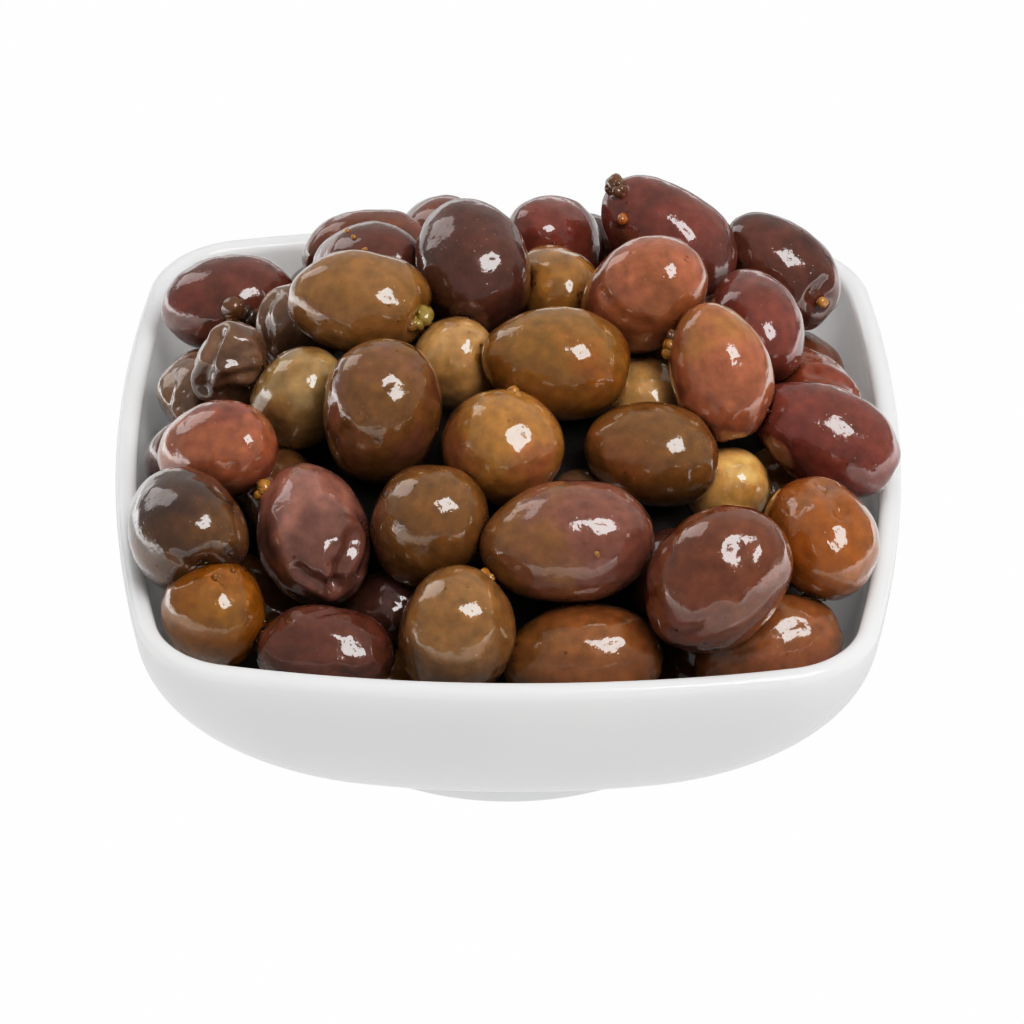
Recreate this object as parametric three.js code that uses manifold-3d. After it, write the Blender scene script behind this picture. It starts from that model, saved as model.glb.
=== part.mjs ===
// A white glazed dish with rounded corners, heaped with small ripe olives.
// Millimetres, +Z up. The dish stands on its foot ring at z = 0, centred on the Z axis,
// and its front is towards -Y.
//
// Two solids: the dish, and the heap of olives, which is a smooth core with the olives
// that show fused on to it.
import * as THREE from 'three';
import { mergeVertices } from 'three/addons/utils/BufferGeometryUtils.js';
import Module from 'manifold-3d';

const wasm = await Module();
wasm.setup();

// ---- driving dimensions of the dish
const HALF_WIDTH = 70; // from the middle to the outside of the lip
const HEIGHT = 46.5; // from the table to the top of the lip
const LIP = 3.8; // thickness of the wall at the lip, which is half round
const WALL_BASE = 41.5; // half-size of the wall where it meets the foot
const FLOOR_Z = 10.5; // top of the floor inside
const FLOOR_HALF = 37.5; // half-size of the floor inside
const RECESS_Z = 4.6; // underside of the base, inside the foot ring
const SWELL = 1.142; // how soon the wall runs outwards as it rises
const RISE = 1.21; // how late it turns upright

// ---- its foot ring
const FOOT_RADIUS = 42.2;
const FOOT_WIDTH = 3.6;
const FOOT_HEIGHT = 6; // where the underside of the wall starts
const FOOT_EDGE = 0.6; // bevel at the table
const FOOT_WAIST = 0.5; // how far the ring draws in as it rises
const FOOT_COVE = [1.5, 1.2]; // bevel to the underside of the base: across and down

// ---- plan outline: four shallow arcs for the sides joined by four corner arcs.
// Radii are shares of the half-size: squarish at the lip, nearly round at the base.
const SIDE_AT_LIP = 3.83;
const SIDE_AT_BASE = 2.36;
const CORNER_AT_LIP = 0.265;
const CORNER_AT_BASE = 0.837;
const NEARLY_ROUND = 0.001; // the foot's two radii differ by this share, either way
const SIDE_SHARE = 0.62; // share of the facets that the side arcs take

// ---- facets
const DISH_STEPS = 56; // round the dish
const DISH_WALL_STEPS = 8; // up each face of its wall
const LIP_STEPS = 4; // over the lip
const CORE_STEPS = 32; // round the heap's core
const CORE_WALL_STEPS = 4; // up the core where it follows the wall
const CORE_DOME_STEPS = 5; // and over its top
const OLIVE_FACETS = [9, 7]; // round an olive and along it
const FILLER_FACETS = [8, 5];

// ---- the heap's core
const GAP = 0.5; // between the heap and the dish
const CORE_EDGE_DEPTH = 25; // how far below the lip the core meets the wall
const CORE_CROWN = 12; // how far the core rises above the lip at its top
const CORE_BACK = 8; // how far its top lies behind the dish's middle
const CORE_FALL = [14, 21]; // how far it falls, along X and along Y, in CORE_REACH
const CORE_REACH = 50;
const CORE_BRIM = 6; // the power that keeps the fall to the wall close to the wall

// ---- the olives
const SLANT = THREE.MathUtils.degToRad(36.7); // the heap's face leans back from this
const FACE_Z = 46.15; // height of the slanting face where it crosses the middle
const SQUASH = 1.5; // how far two neighbours may press into each other
const FACET_FILL = 1.04; // facets cut inside a curved skin, so it is a touch larger
const TAPER = 0.07; // an olive is a little fuller towards its stem
const TIP_GIRTH = 0.93; // how full it is near its ends
const WALL_LEVELS = [-0.7, 0, 0.7]; // where it is tried against the wall, in its radius

// The olives that show, row by row from the front. Each is placed on the heap's
// slanting face: [across, up the face, out of the face], then the lie of its long axis
// on the face and how far that axis nods out of it, in degrees, then length and girth.
const ROWS = {
  front: [
    [-51.5, -29, 36, 80, 50, 21, 18.5], [-32, -35, 39, -5, 0, 24.5, 16.5],
    [-9, -32, 41.5, 80, 48, 27, 20.5], [13, -36, 35.5, 3, 0, 29, 19.5],
    [46, -34, 32, 20, 0, 27, 18], [-22.5, -28.5, 22, 0, 60, 22, 15.5],
    [30, -40, 18, 0, 65, 22, 15],
  ],
  second: [
    [-56.5, -14, 32.5, -60, 50, 28, 20.5], [-34.3, -14.5, 28.5, -75, 35, 28, 20],
    [-14, -13, 32, 60, 55, 26, 20.5], [10.5, -15.5, 38, 5, 0, 31.5, 21.5],
    [36.5, -22, 45, 45, 30, 30.5, 23], [55, -14.5, 29.5, -55, 45, 25.5, 19.3],
  ],
  third: [
    [-57, -2, -1, 50, 55, 22, 15], [-51.5, 0, 18, 10, 35, 24, 17.5],
    [-37.5, 9, 8, 60, 50, 24, 16.5], [-22.5, 7, 21, 85, 35, 28, 21.5],
    [-1.5, 1, 24, 0, 65, 27, 20.5], [25.5, 0, 22, -12, 0, 24.5, 19],
    [38, -6.5, 8.5, 30, 65, 23, 15.5], [56.3, 3.2, 11.5, -28, 0, 28, 18.5],
  ],
  fourth: [
    [-56, 10.5, -14.5, 75, -60, 22, 13.5], [-49.5, 15, 1.5, 70, 55, 22, 13.5],
    [-9.5, 15, 4.5, 80, 65, 24, 16.5], [8.5, 16, 15.5, -8, 0, 27, 20],
    [23.5, 9.5, 2, 0, 65, 22, 15.5], [37.5, 14.5, 16.5, -75, 0, 25.5, 18],
    [53.8, 10.8, -7.5, -35, 50, 24, 15.5], [44, 23, -2.5, -70, 40, 24, 17],
  ],
  crown: [
    [-37.5, 22, -11, 60, 55, 22, 15.5], [-26.5, 26.5, 6, -6, 0, 26, 19],
    [-6.5, 33.5, -1.5, -70, 30, 26, 20.5], [8, 29.5, -10, -20, 70, 24, 15.5],
    [23.5, 28, 6.5, 40, 40, 27, 19.5],
  ],
  back: [
    [-50.5, 26.5, -25, 5, 0, 24.5, 18], [-26, 36, -29.5, 8, 0, 23.5, 16.5],
    [-25.5, 33, -13, 0, 45, 24, 16.5], [-12, 38.5, -41, 0, 70, 22, 16.5],
    [8, 38, -26, -40, -60, 24, 16.5], [14.5, 36, -40, 0, 75, 22, 15],
    [28.5, 39, -20, -38, 0, 28, 18.5], [49, 33.5, -27.5, -45, 0, 25, 17],
  ],
};

// ---- the rest of the heap, filled in by a rule
const FILL_SEED = 4;
const FILL_STEP = 8; // spacing of the places that are tried, along X
const FILL_ROW_STEP = 6.96; // and along Y
const FILL_JITTER = [4, 3]; // how much they stray, along X and along Y
const FILL_ROWS = 17;
const FILL_COLUMNS = 7; // to each side of the middle
const FILL_BACK = 56; // y of the first row
const FILL_RISE = 10; // the highest place tried, above the core
const FILL_DROP = 0.5; // then lower and lower by this
const FILL_SINK = 0.25; // down to this share of a girth under the core's top
const FILL_GIRTH = [14, 17.5];
const FILL_SLENDER = [1.25, 1.45]; // length over girth

const mix = (a, b, share) => a + (b - a) * share;

// The outline at an outer half-size, moved in by an inset: half-size, side radius,
// corner radius, the half-angle of a side arc and the corner arc's centre.
function outline(size, inset, round = false) {
  const share = Math.min(1, (HALF_WIDTH - size) / (HALF_WIDTH - WALL_BASE));
  const sideShare = round ? 1 + NEARLY_ROUND : mix(SIDE_AT_LIP, SIDE_AT_BASE, share);
  const cornerShare = round ? 1 - NEARLY_ROUND : mix(CORNER_AT_LIP, CORNER_AT_BASE, share);
  const half = size - inset;
  const side = size * sideShare - inset;
  const corner = Math.max(size * cornerShare - inset, 0);
  const sideAngle = Math.PI / 4 + Math.asin((half - side) / ((side - corner) * Math.SQRT2));
  const cornerCentre = (side - corner) * Math.sin(sideAngle);
  return { half, side, corner, sideAngle, cornerCentre };
}

// A point of an outline, at a number of quarters round from the middle of the +X side.
function outlinePoint(shape, quarters) {
  const quarter = Math.round(quarters);
  const t = (quarters - quarter) * 2;
  const size = Math.abs(t);
  let x, y;
  if (size <= SIDE_SHARE) {
    const angle = (shape.sideAngle * size) / SIDE_SHARE;
    x = shape.half - shape.side + shape.side * Math.cos(angle);
    y = shape.side * Math.sin(angle);
  } else {
    const share = (size - SIDE_SHARE) / (1 - SIDE_SHARE);
    const angle = mix(shape.sideAngle, Math.PI / 4, share);
    x = shape.cornerCentre + shape.corner * Math.cos(angle);
    y = shape.cornerCentre + shape.corner * Math.sin(angle);
  }
  y *= Math.sign(t) || 1;
  const turn = (quarter * Math.PI) / 2;
  return [x * Math.cos(turn) - y * Math.sin(turn), x * Math.sin(turn) + y * Math.cos(turn)];
}

// The wall's outside and inside, at u from 0 at the base to PI / 2 at the lip.
const WALL_TOP = HEIGHT - LIP / 2;
const FIRST_U = 0.1 * (Math.PI / 2); // where the outside leaves the foot
const outerSize = (u) => mix(WALL_BASE, HALF_WIDTH, Math.sin(u) ** SWELL);
const outerZ = (u) => mix(WALL_TOP, FOOT_HEIGHT, Math.cos(u) ** RISE);
const innerSize = (u) => mix(FLOOR_HALF, HALF_WIDTH - LIP, Math.sin(u) ** SWELL);
const innerZ = (u) => mix(WALL_TOP, FLOOR_Z, Math.cos(u) ** RISE);
const outside = (u) => ({ size: outerSize(u), inset: 0, z: outerZ(u) });
const inside = (u, gap = 0) => ({
  size: outerSize(u),
  inset: outerSize(u) - innerSize(u) + gap,
  z: innerZ(u) + gap * Math.cos(u),
});

// A lathed solid whose rings are then moved on to their outlines. A ring is
// { size, inset, z, round }, and its z may be a function of x and y.
function turned(rings, steps) {
  const height = (ring, x, y) => (typeof ring.z === 'function' ? ring.z(x, y) : ring.z);
  const profile = rings.map((ring) => new THREE.Vector2(Math.max(ring.size - ring.inset, 0), height(ring, 0, 0)));
  const geometry = new THREE.LatheGeometry(profile, steps);
  geometry.rotateX(Math.PI / 2);
  const position = geometry.attributes.position;
  for (let v = 0; v < position.count; v++) {
    const ring = rings[v % rings.length];
    if (ring.size - ring.inset <= 0) {
      position.setXYZ(v, 0, 0, height(ring, 0, 0));
      continue;
    }
    const quarters = (4 * (Math.floor(v / rings.length) % steps)) / steps;
    const shape = outline(ring.size, ring.inset, ring.round);
    const [x, y] = outlinePoint(shape, quarters - 1);
    position.setXYZ(v, x, y, height(ring, x, y));
  }
  return geometry;
}

// Closed, merged mesh to solid and back.
function solid(geometry) {
  geometry.deleteAttribute('normal');
  geometry.deleteAttribute('uv');
  const merged = mergeVertices(geometry, 1e-4);
  return new wasm.Manifold(new wasm.Mesh({
    numProp: 3,
    vertProperties: new Float32Array(merged.attributes.position.array),
    triVerts: new Uint32Array(merged.index.array),
  }));
}

function geometryOf(body) {
  const mesh = body.getMesh();
  const geometry = new THREE.BufferGeometry();
  geometry.setAttribute('position', new THREE.BufferAttribute(mesh.vertProperties, 3));
  geometry.setIndex(new THREE.BufferAttribute(mesh.triVerts, 1));
  geometry.computeVertexNormals();
  return geometry;
}

// ---- the dish: under the base, round the foot, up the outside, over the lip and down
// the inside to the floor
function dishRings() {
  const foot = (radius, z) => ({ size: radius, inset: 0, z, round: true });
  const footInside = FOOT_RADIUS - FOOT_WIDTH;
  const rings = [
    { size: 0, inset: 0, z: RECESS_Z },
    foot(footInside - FOOT_COVE[0], RECESS_Z),
    foot(footInside - FOOT_EDGE / 2, RECESS_Z - FOOT_COVE[1]),
    foot(footInside, FOOT_EDGE),
    foot(footInside + FOOT_EDGE, 0),
    foot(FOOT_RADIUS - FOOT_EDGE, 0),
    foot(FOOT_RADIUS, FOOT_EDGE),
    foot(FOOT_RADIUS - FOOT_WAIST, FOOT_HEIGHT - 2 * FOOT_WAIST),
    foot(FOOT_RADIUS + FOOT_WAIST / 2, FOOT_HEIGHT - FOOT_WAIST / 4),
  ];
  for (let i = 1; i <= DISH_WALL_STEPS; i++) {
    rings.push(outside(mix(FIRST_U, Math.PI / 2, i / DISH_WALL_STEPS)));
  }
  for (let i = 1; i < LIP_STEPS; i++) {
    const angle = (i * Math.PI) / LIP_STEPS;
    const inset = (LIP / 2) * (1 - Math.cos(angle));
    rings.push({ size: HALF_WIDTH, inset, z: WALL_TOP + (LIP / 2) * Math.sin(angle) });
  }
  for (let i = DISH_WALL_STEPS; i >= 0; i--) {
    rings.push(inside((i / DISH_WALL_STEPS) * (Math.PI / 2)));
  }
  rings.push({ size: 0, inset: 0, z: FLOOR_Z });
  return rings;
}

// ---- the heap's core: from the floor up along the wall, then over its dome
function coreTopZ(share, x, y) {
  const fallAcross = CORE_FALL[0] * (x / CORE_REACH) ** 2;
  const fallAlong = CORE_FALL[1] * ((y - CORE_BACK) / CORE_REACH) ** 2;
  const dome = Math.max(CORE_CROWN - fallAcross - fallAlong, -CORE_EDGE_DEPTH);
  return HEIGHT + mix(dome, -CORE_EDGE_DEPTH, share ** CORE_BRIM);
}

function coreRings() {
  const edgeZ = HEIGHT - CORE_EDGE_DEPTH;
  const edge = Math.acos(((WALL_TOP - edgeZ) / (WALL_TOP - FLOOR_Z)) ** (1 / RISE));
  const rings = [{ size: 0, inset: 0, z: FLOOR_Z + GAP }];
  for (let i = 0; i <= CORE_WALL_STEPS; i++) rings.push(inside((i / CORE_WALL_STEPS) * edge, GAP));
  const rim = rings[rings.length - 1];
  const half = rim.size - rim.inset;
  for (let i = CORE_DOME_STEPS - 1; i >= 0; i--) {
    const share = i / CORE_DOME_STEPS;
    rings.push({
      size: i ? half * share + rim.inset : 0,
      inset: i ? rim.inset : 0,
      z: (x, y) => coreTopZ(share, x, y),
    });
  }
  return rings;
}

// ---- the olives
const ACROSS = new THREE.Vector3(1, 0, 0);
const UP_FACE = new THREE.Vector3(0, Math.sin(SLANT), Math.cos(SLANT));
const OUT_OF_FACE = new THREE.Vector3(0, -Math.cos(SLANT), Math.sin(SLANT));

function onFace([across, up, out, lie, nod, length, girth]) {
  const centre = new THREE.Vector3(0, 0, FACE_Z)
    .addScaledVector(ACROSS, across).addScaledVector(UP_FACE, up).addScaledVector(OUT_OF_FACE, out);
  const turn = THREE.MathUtils.degToRad(lie);
  const tip = THREE.MathUtils.degToRad(nod);
  const axis = new THREE.Vector3()
    .addScaledVector(ACROSS, Math.cos(tip) * Math.cos(turn))
    .addScaledVector(UP_FACE, Math.cos(tip) * Math.sin(turn))
    .addScaledVector(OUT_OF_FACE, Math.sin(tip));
  return { centre, axis, length, girth };
}

// An olive tested as three balls along its axis.
function balls({ centre, axis, length, girth }) {
  const radius = girth / 2;
  const reach = length / 2 - radius;
  return [0, reach, -reach].map((along) => ({
    centre: centre.clone().addScaledVector(axis, along),
    radius: along ? radius * TIP_GIRTH : radius,
  }));
}

const apart = (a, b) => a.centre.distanceTo(b.centre) >= a.radius + b.radius - SQUASH;
const clearOf = (olive, others) => others.every(
  (other) => balls(olive).every((a) => balls(other).every((b) => apart(a, b))));

// Level distance from a point to the inside of the wall.
function roomToWall(x, y, z) {
  if (z > WALL_TOP) return Infinity;
  const rise = Math.min(Math.max((WALL_TOP - z) / (WALL_TOP - FLOOR_Z), 0), 1);
  const { size, inset } = inside(Math.acos(rise ** (1 / RISE)));
  const shape = outline(size, inset);
  const long = Math.max(Math.abs(x), Math.abs(y));
  const short = Math.min(Math.abs(x), Math.abs(y));
  const along = long - (shape.half - shape.side);
  if (Math.atan2(short, along) <= shape.sideAngle) return shape.side - Math.hypot(along, short);
  return shape.corner - Math.hypot(long - shape.cornerCentre, short - shape.cornerCentre);
}

const clearOfWall = (olive) => balls(olive).every(({ centre, radius }) => WALL_LEVELS.every(
  (level) => roomToWall(centre.x, centre.y, centre.z + level * radius)
    >= radius * Math.sqrt(1 - level * level) + GAP));

// The same even random numbers every time.
function randomFrom(seed) {
  let state = seed;
  return () => {
    state = (Math.imul(state, 1664525) + 1013904223) >>> 0;
    return state / 2 ** 32;
  };
}

// Fillers: places on a staggered grid, each tried from the top down until the olive
// clears those that are there already, and given up where the core is reached.
function fillers(placed) {
  const random = randomFrom(FILL_SEED);
  const olives = [];
  for (let row = 0; row < FILL_ROWS; row++) {
    for (let column = -FILL_COLUMNS; column <= FILL_COLUMNS; column++) {
      const x = (column + (row % 2) / 2) * FILL_STEP + (random() - 0.5) * FILL_JITTER[0];
      const y = FILL_BACK - row * FILL_ROW_STEP + (random() - 0.5) * FILL_JITTER[1];
      const girth = mix(...FILL_GIRTH, random());
      const length = girth * mix(...FILL_SLENDER, random());
      const heading = Math.PI * random();
      const dip = random() - 0.5;
      const level = new THREE.Vector3(Math.cos(heading), Math.sin(heading), 0);
      const axis = level.multiplyScalar(Math.cos(dip)).setZ(Math.sin(dip));
      const share = Math.min(Math.max(Math.abs(x), Math.abs(y)) / (HALF_WIDTH - LIP), 1);
      const coreTop = coreTopZ(share, x, y);
      for (let z = coreTop + FILL_RISE; z > coreTop - girth * FILL_SINK; z -= FILL_DROP) {
        const olive = { centre: new THREE.Vector3(x, y, z), axis, length, girth };
        if (clearOfWall(olive) && clearOf(olive, [...placed, ...olives])) {
          olives.push(olive);
          break;
        }
      }
    }
  }
  return olives;
}

// One olive: an egg round its axis, with the axis along X until it is turned.
function oliveGeometry({ centre, axis, length, girth }, [around, along]) {
  const geometry = new THREE.SphereGeometry(FACET_FILL / 2, around, along);
  geometry.rotateZ(-Math.PI / 2);
  geometry.scale(length, girth, girth);
  const position = geometry.attributes.position;
  for (let v = 0; v < position.count; v++) {
    const full = 1 + (TAPER * 2 * position.getX(v)) / (FACET_FILL * length);
    position.setXYZ(v, position.getX(v), position.getY(v) * full, position.getZ(v) * full);
  }
  geometry.applyQuaternion(new THREE.Quaternion().setFromUnitVectors(ACROSS, axis));
  geometry.translate(centre.x, centre.y, centre.z);
  return geometry;
}

function heapSolid() {
  const shown = Object.values(ROWS).flat().map(onFace);
  let heap = solid(turned(coreRings(), CORE_STEPS));
  for (const olive of shown) heap = heap.add(solid(oliveGeometry(olive, OLIVE_FACETS)));
  for (const olive of fillers(shown)) heap = heap.add(solid(oliveGeometry(olive, FILLER_FACETS)));
  return heap;
}

// ---- the object
const porcelain = new THREE.MeshStandardMaterial({ color: 0xf2f3f3, roughness: 0.15, metalness: 0 });
const oliveSkin = new THREE.MeshStandardMaterial({ color: 0x6b4230, roughness: 0.25, metalness: 0 });

const dish = new THREE.Mesh(geometryOf(solid(turned(dishRings(), DISH_STEPS))), porcelain);
dish.name = 'dish';
const olives = new THREE.Mesh(geometryOf(heapSolid()), oliveSkin);
olives.name = 'olives';

const part = new THREE.Group();
part.add(dish, olives);
export default part;
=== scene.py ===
# %% [markdown]
# # A dish of olives
# Small ripe olives, wet with oil, are heaped in a white glazed dish. The solids already
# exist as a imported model, so this lesson dresses them: the dish gets a smooth surface
# and its glaze, and every olive gets its own skin, dents, folds and colour.

# %% Load the model
import math

import bpy
import numpy as np
from mathutils import Matrix, Vector


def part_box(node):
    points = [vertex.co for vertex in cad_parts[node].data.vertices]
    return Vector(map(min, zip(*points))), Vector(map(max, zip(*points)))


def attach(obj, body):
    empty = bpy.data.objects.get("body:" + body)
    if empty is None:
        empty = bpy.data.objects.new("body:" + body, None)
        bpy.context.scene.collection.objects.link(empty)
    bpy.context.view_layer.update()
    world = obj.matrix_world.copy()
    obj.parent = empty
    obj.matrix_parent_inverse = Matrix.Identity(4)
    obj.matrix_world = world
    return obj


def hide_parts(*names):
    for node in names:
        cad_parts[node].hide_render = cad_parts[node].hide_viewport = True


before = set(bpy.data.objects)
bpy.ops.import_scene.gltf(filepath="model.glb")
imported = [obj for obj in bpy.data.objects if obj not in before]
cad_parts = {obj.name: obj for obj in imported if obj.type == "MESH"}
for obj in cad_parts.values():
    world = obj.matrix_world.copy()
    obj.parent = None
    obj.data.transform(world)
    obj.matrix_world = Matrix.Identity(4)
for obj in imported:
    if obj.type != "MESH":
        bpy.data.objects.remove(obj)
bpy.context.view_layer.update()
MM = 0.001  # the lesson works in millimetres and turns them to metres at the very end

# %% [markdown]
# ## Helpers
# A surface here is always a grid of points: rows run one way over it and columns the
# other. Its faces are then the same for every shape, so one function can make them. A
# grid that goes all the way round joins its last column to its first, and a pole is a
# row whose points all meet, which is closed with a fan of triangles. A ball is the
# simplest such grid, and every olive starts as one.


# %% Grids, meshes and pieces
def closed_grid_faces(rows, columns):
    """Faces of a grid that is round in its columns and has a pole at either end.

    Point 0 is the first pole, then come the rows between, and the last point is the
    other pole. Row r, column c is point 1 + r * columns + c.
    """
    row = np.arange(rows - 1)[:, None]
    column = np.arange(columns)[None, :]
    after = (column + 1) % columns
    here = 1 + row * columns
    quads = np.stack(
        [here + column, here + columns + column, here + columns + after, here + after], -1
    ).reshape(-1, 4)
    column, after = column[0], after[0]
    last = 1 + rows * columns
    base = 1 + (rows - 1) * columns
    top = np.stack([np.zeros_like(column), 1 + column, 1 + after], -1)
    bottom = np.stack([np.full_like(column, last), base + after, base + column], -1)
    return quads, np.concatenate([top, bottom])


def with_poles(grid):
    """Grid of shape (rows + 2, columns, n) as a list of points, with one for each pole."""
    return np.concatenate([grid[:1, 0], grid[1:-1].reshape(-1, grid.shape[-1]), grid[-1:, 0]])


def ball_grid(rows, columns):
    """A ball of radius 1 as a grid, with its poles on the first axis.

    Angle a runs from pole to pole and b round the axis: a point is cos a along the axis,
    and sin a cos b and sin a sin b off it.
    """
    a = np.linspace(0, math.pi, rows + 2)[:, None]
    b = np.linspace(0, 2 * math.pi, columns, endpoint=False)[None, :]
    return np.stack([np.cos(a) + 0 * b, np.sin(a) * np.cos(b), np.sin(a) * np.sin(b)], -1)


def add_piece(name, points, quads, triangles, material, colours=None):
    """A smooth mesh piece, made from points in millimetres, that rides on the body."""
    mesh = bpy.data.meshes.new(name)
    corners = np.concatenate([quads.ravel(), triangles.ravel()]).astype(np.int32)
    sizes = np.concatenate([np.full(len(quads), 4), np.full(len(triangles), 3)])
    starts = np.concatenate([[0], np.cumsum(sizes)[:-1]]).astype(np.int32)
    mesh.vertices.add(len(points))
    mesh.vertices.foreach_set("co", (points * MM).astype(np.float32).ravel())
    mesh.loops.add(len(corners))
    mesh.loops.foreach_set("vertex_index", corners)
    mesh.polygons.add(len(sizes))
    mesh.polygons.foreach_set("loop_start", starts)
    mesh.polygons.foreach_set("use_smooth", np.ones(len(sizes), bool))
    mesh.update(calc_edges=True)
    mesh.validate()
    if colours is not None:
        values = np.concatenate([colours, np.ones((len(colours), 1))], 1)
        layer = mesh.color_attributes.new("skin", "FLOAT_COLOR", "POINT")
        layer.data.foreach_set("color", values.astype(np.float32).ravel())
    mesh.materials.append(material)
    piece = bpy.data.objects.new(name, mesh)
    bpy.context.scene.collection.objects.link(piece)
    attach(piece, "root")
    print(name, len(quads) * 2 + len(triangles), "triangles")
    return piece


def mix(a, b, share):
    """a at share 0, b at share 1, and evenly between."""
    return a + (b - a) * share


def smooth_step(low, high, value):
    """0 below low, 1 above high, and an S curve between."""
    t = np.clip((value - low) / (high - low), 0, 1)
    return t * t * (3 - 2 * t)


def unit(vector):
    """The same direction with length 1, for one vector or for an array of them."""
    return vector / np.linalg.norm(vector, axis=-1, keepdims=True)


# %% [markdown]
# A colour is written as the eye sees it on a screen, as sRGB hex. Blender's shaders work
# in linear light, so one function turns the first into the second. Another adds a shader
# node: it sets the node's options and gives each socket a value or a link. A material is
# built from its patterns to its shader, so the shader comes last.


# %% Colours and shader nodes
def linear(hex_colour):
    """sRGB hex to linear RGB. Dark values are a straight line, the rest a power of 2.4."""
    srgb = np.array([int(hex_colour[i : i + 2], 16) for i in (1, 3, 5)]) / 255
    return np.where(srgb <= 0.04045, srgb / 12.92, ((srgb + 0.055) / 1.055) ** 2.4)


def rgba(hex_colour):
    """The same, as the four numbers that a colour socket takes."""
    return (*linear(hex_colour), 1.0)


def add_node(tree, kind, inputs=None, **options):
    """A node with its options, and its sockets set to values or linked to other sockets."""
    made = tree.nodes.new(kind)
    for name, value in options.items():
        setattr(made, name, value)
    for key, value in (inputs or {}).items():
        if isinstance(value, bpy.types.NodeSocket):
            tree.links.new(value, made.inputs[key])
        else:
            made.inputs[key].default_value = value
    return made


def new_material(name):
    """A material with an empty node tree, and the tree."""
    material = bpy.data.materials.new(name)
    material.use_nodes = True
    material.node_tree.nodes.clear()
    return material, material.node_tree


def end_in(tree, shader_kind, inputs):
    """Ends a material's tree in a shader with its inputs, linked to the output."""
    shader = add_node(tree, shader_kind, inputs)
    add_node(tree, "ShaderNodeOutputMaterial", {"Surface": shader.outputs[0]})


# %% [markdown]
# ## The camera
# The heap is seen from the front and from well above, from far away, so that lines stay
# almost parallel. The camera looks past the middle of the heap, which puts the dish a
# little above the middle of the frame, and it is rolled by a third of a degree.

# %% Camera
FRAME_PIXELS = 1024
SLANT = math.radians(36.7)  # how far the camera looks down
FACE_Z = 46.15  # height of the point on the Z axis that the views are measured from
DISTANCE = 2335.0
PIXELS_AT_ONE = 13093.0  # pixels a millimetre, a millimetre from the lens
TARGET_PIXEL = (508.4, 453.3)  # where that point falls in the frame
ROLL = 0.0064
SENSOR = 36.0
CLIP = (0.1, 100.0)  # the nearest and the furthest that it sees, in metres

across = np.array([1.0, 0.0, 0.0])
up_face = np.array([0.0, math.sin(SLANT), math.cos(SLANT)])
out_of_face = np.array([0.0, -math.cos(SLANT), math.sin(SLANT)])
face_centre = np.array([0.0, 0.0, FACE_Z])

camera_at = face_centre + DISTANCE * out_of_face
camera_right = math.cos(ROLL) * across + math.sin(ROLL) * up_face
camera_up = math.cos(ROLL) * up_face - math.sin(ROLL) * across
off_right = (FRAME_PIXELS / 2 - TARGET_PIXEL[0]) / PIXELS_AT_ONE
off_up = (TARGET_PIXEL[1] - FRAME_PIXELS / 2) / PIXELS_AT_ONE
aim = unit(-out_of_face + off_right * camera_right + off_up * camera_up)
aim_right = unit(np.cross(aim, camera_up))
aim_up = np.cross(aim_right, aim)

lens = bpy.data.cameras.new("camera")
lens.sensor_width = SENSOR
lens.lens = PIXELS_AT_ONE * SENSOR / FRAME_PIXELS
lens.clip_start, lens.clip_end = CLIP
camera = bpy.data.objects.new("camera", lens)
turn = np.stack([aim_right, aim_up, -aim], 1)
camera.matrix_world = Matrix.Translation(Vector(camera_at * MM)) @ Matrix(turn.tolist()).to_4x4()
bpy.context.scene.collection.objects.link(camera)
bpy.context.scene.camera = camera
print("lens", round(lens.lens, 1), "mm")


def sight_line(pixel):
    """Unit direction from the camera through a pixel of the 1024 frame."""
    x = (pixel[0] - FRAME_PIXELS / 2) / PIXELS_AT_ONE
    y = (FRAME_PIXELS / 2 - pixel[1]) / PIXELS_AT_ONE
    return unit(aim + x * aim_right + y * aim_up)


# %% [markdown]
# ## The dish
# The dish is square with rounded corners at its lip and nearly round at its base, where
# it stands on a round foot ring. Each level of it is an outline of four shallow side
# arcs and four tighter corner arcs that meet without a kink. It could be carved from a
# subdivided box, but then its curves would only be near the real ones. Here each ring
# is worked out from the same sizes as the solid, only with many more steps.

# %% The dish's outline
dish_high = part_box("dish")[1]
HALF_WIDTH = round(dish_high.x / MM, 1)  # from the middle to the outside of the lip
HEIGHT = round(dish_high.z / MM, 1)  # from the table to the top of the lip
LIP = 3.8  # thickness of the wall at the lip, which is half round
WALL_BASE = 41.5  # half-size of the wall where it meets the foot
FLOOR_Z = 10.5  # top of the floor inside
FLOOR_HALF = 37.5  # half-size of the floor inside
RECESS_Z = 4.6  # underside of the base, inside the foot ring
SWELL = 1.142  # how soon the wall runs outwards as it rises
RISE = 1.21  # how late it turns upright
FOOT_RADIUS = 42.2
FOOT_WIDTH = 3.6
FOOT_HEIGHT = 6.0  # where the underside of the wall starts
FOOT_EDGE = 0.6  # radius of its edges at the table
FOOT_WAIST = 0.5  # how far the ring draws in as it rises
FOOT_COVE = (1.5, 1.2)  # its slope to the underside of the base: across and down
SIDE_AT_LIP = 3.83  # radii of the arcs, as shares of the half-size
SIDE_AT_BASE = 2.36
CORNER_AT_LIP = 0.265
CORNER_AT_BASE = 0.837
NEARLY_ROUND = 0.001  # the foot's two radii differ by this share, either way
SIDE_SHARE = 0.62  # share of the columns that the side arcs take
WALL_TOP = HEIGHT - LIP / 2
HALF_PI = math.pi / 2
FIRST_U = 0.1 * HALF_PI  # where the outside of the wall leaves the foot
print("dish", 2 * HALF_WIDTH, "mm across and", HEIGHT, "mm high")


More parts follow.
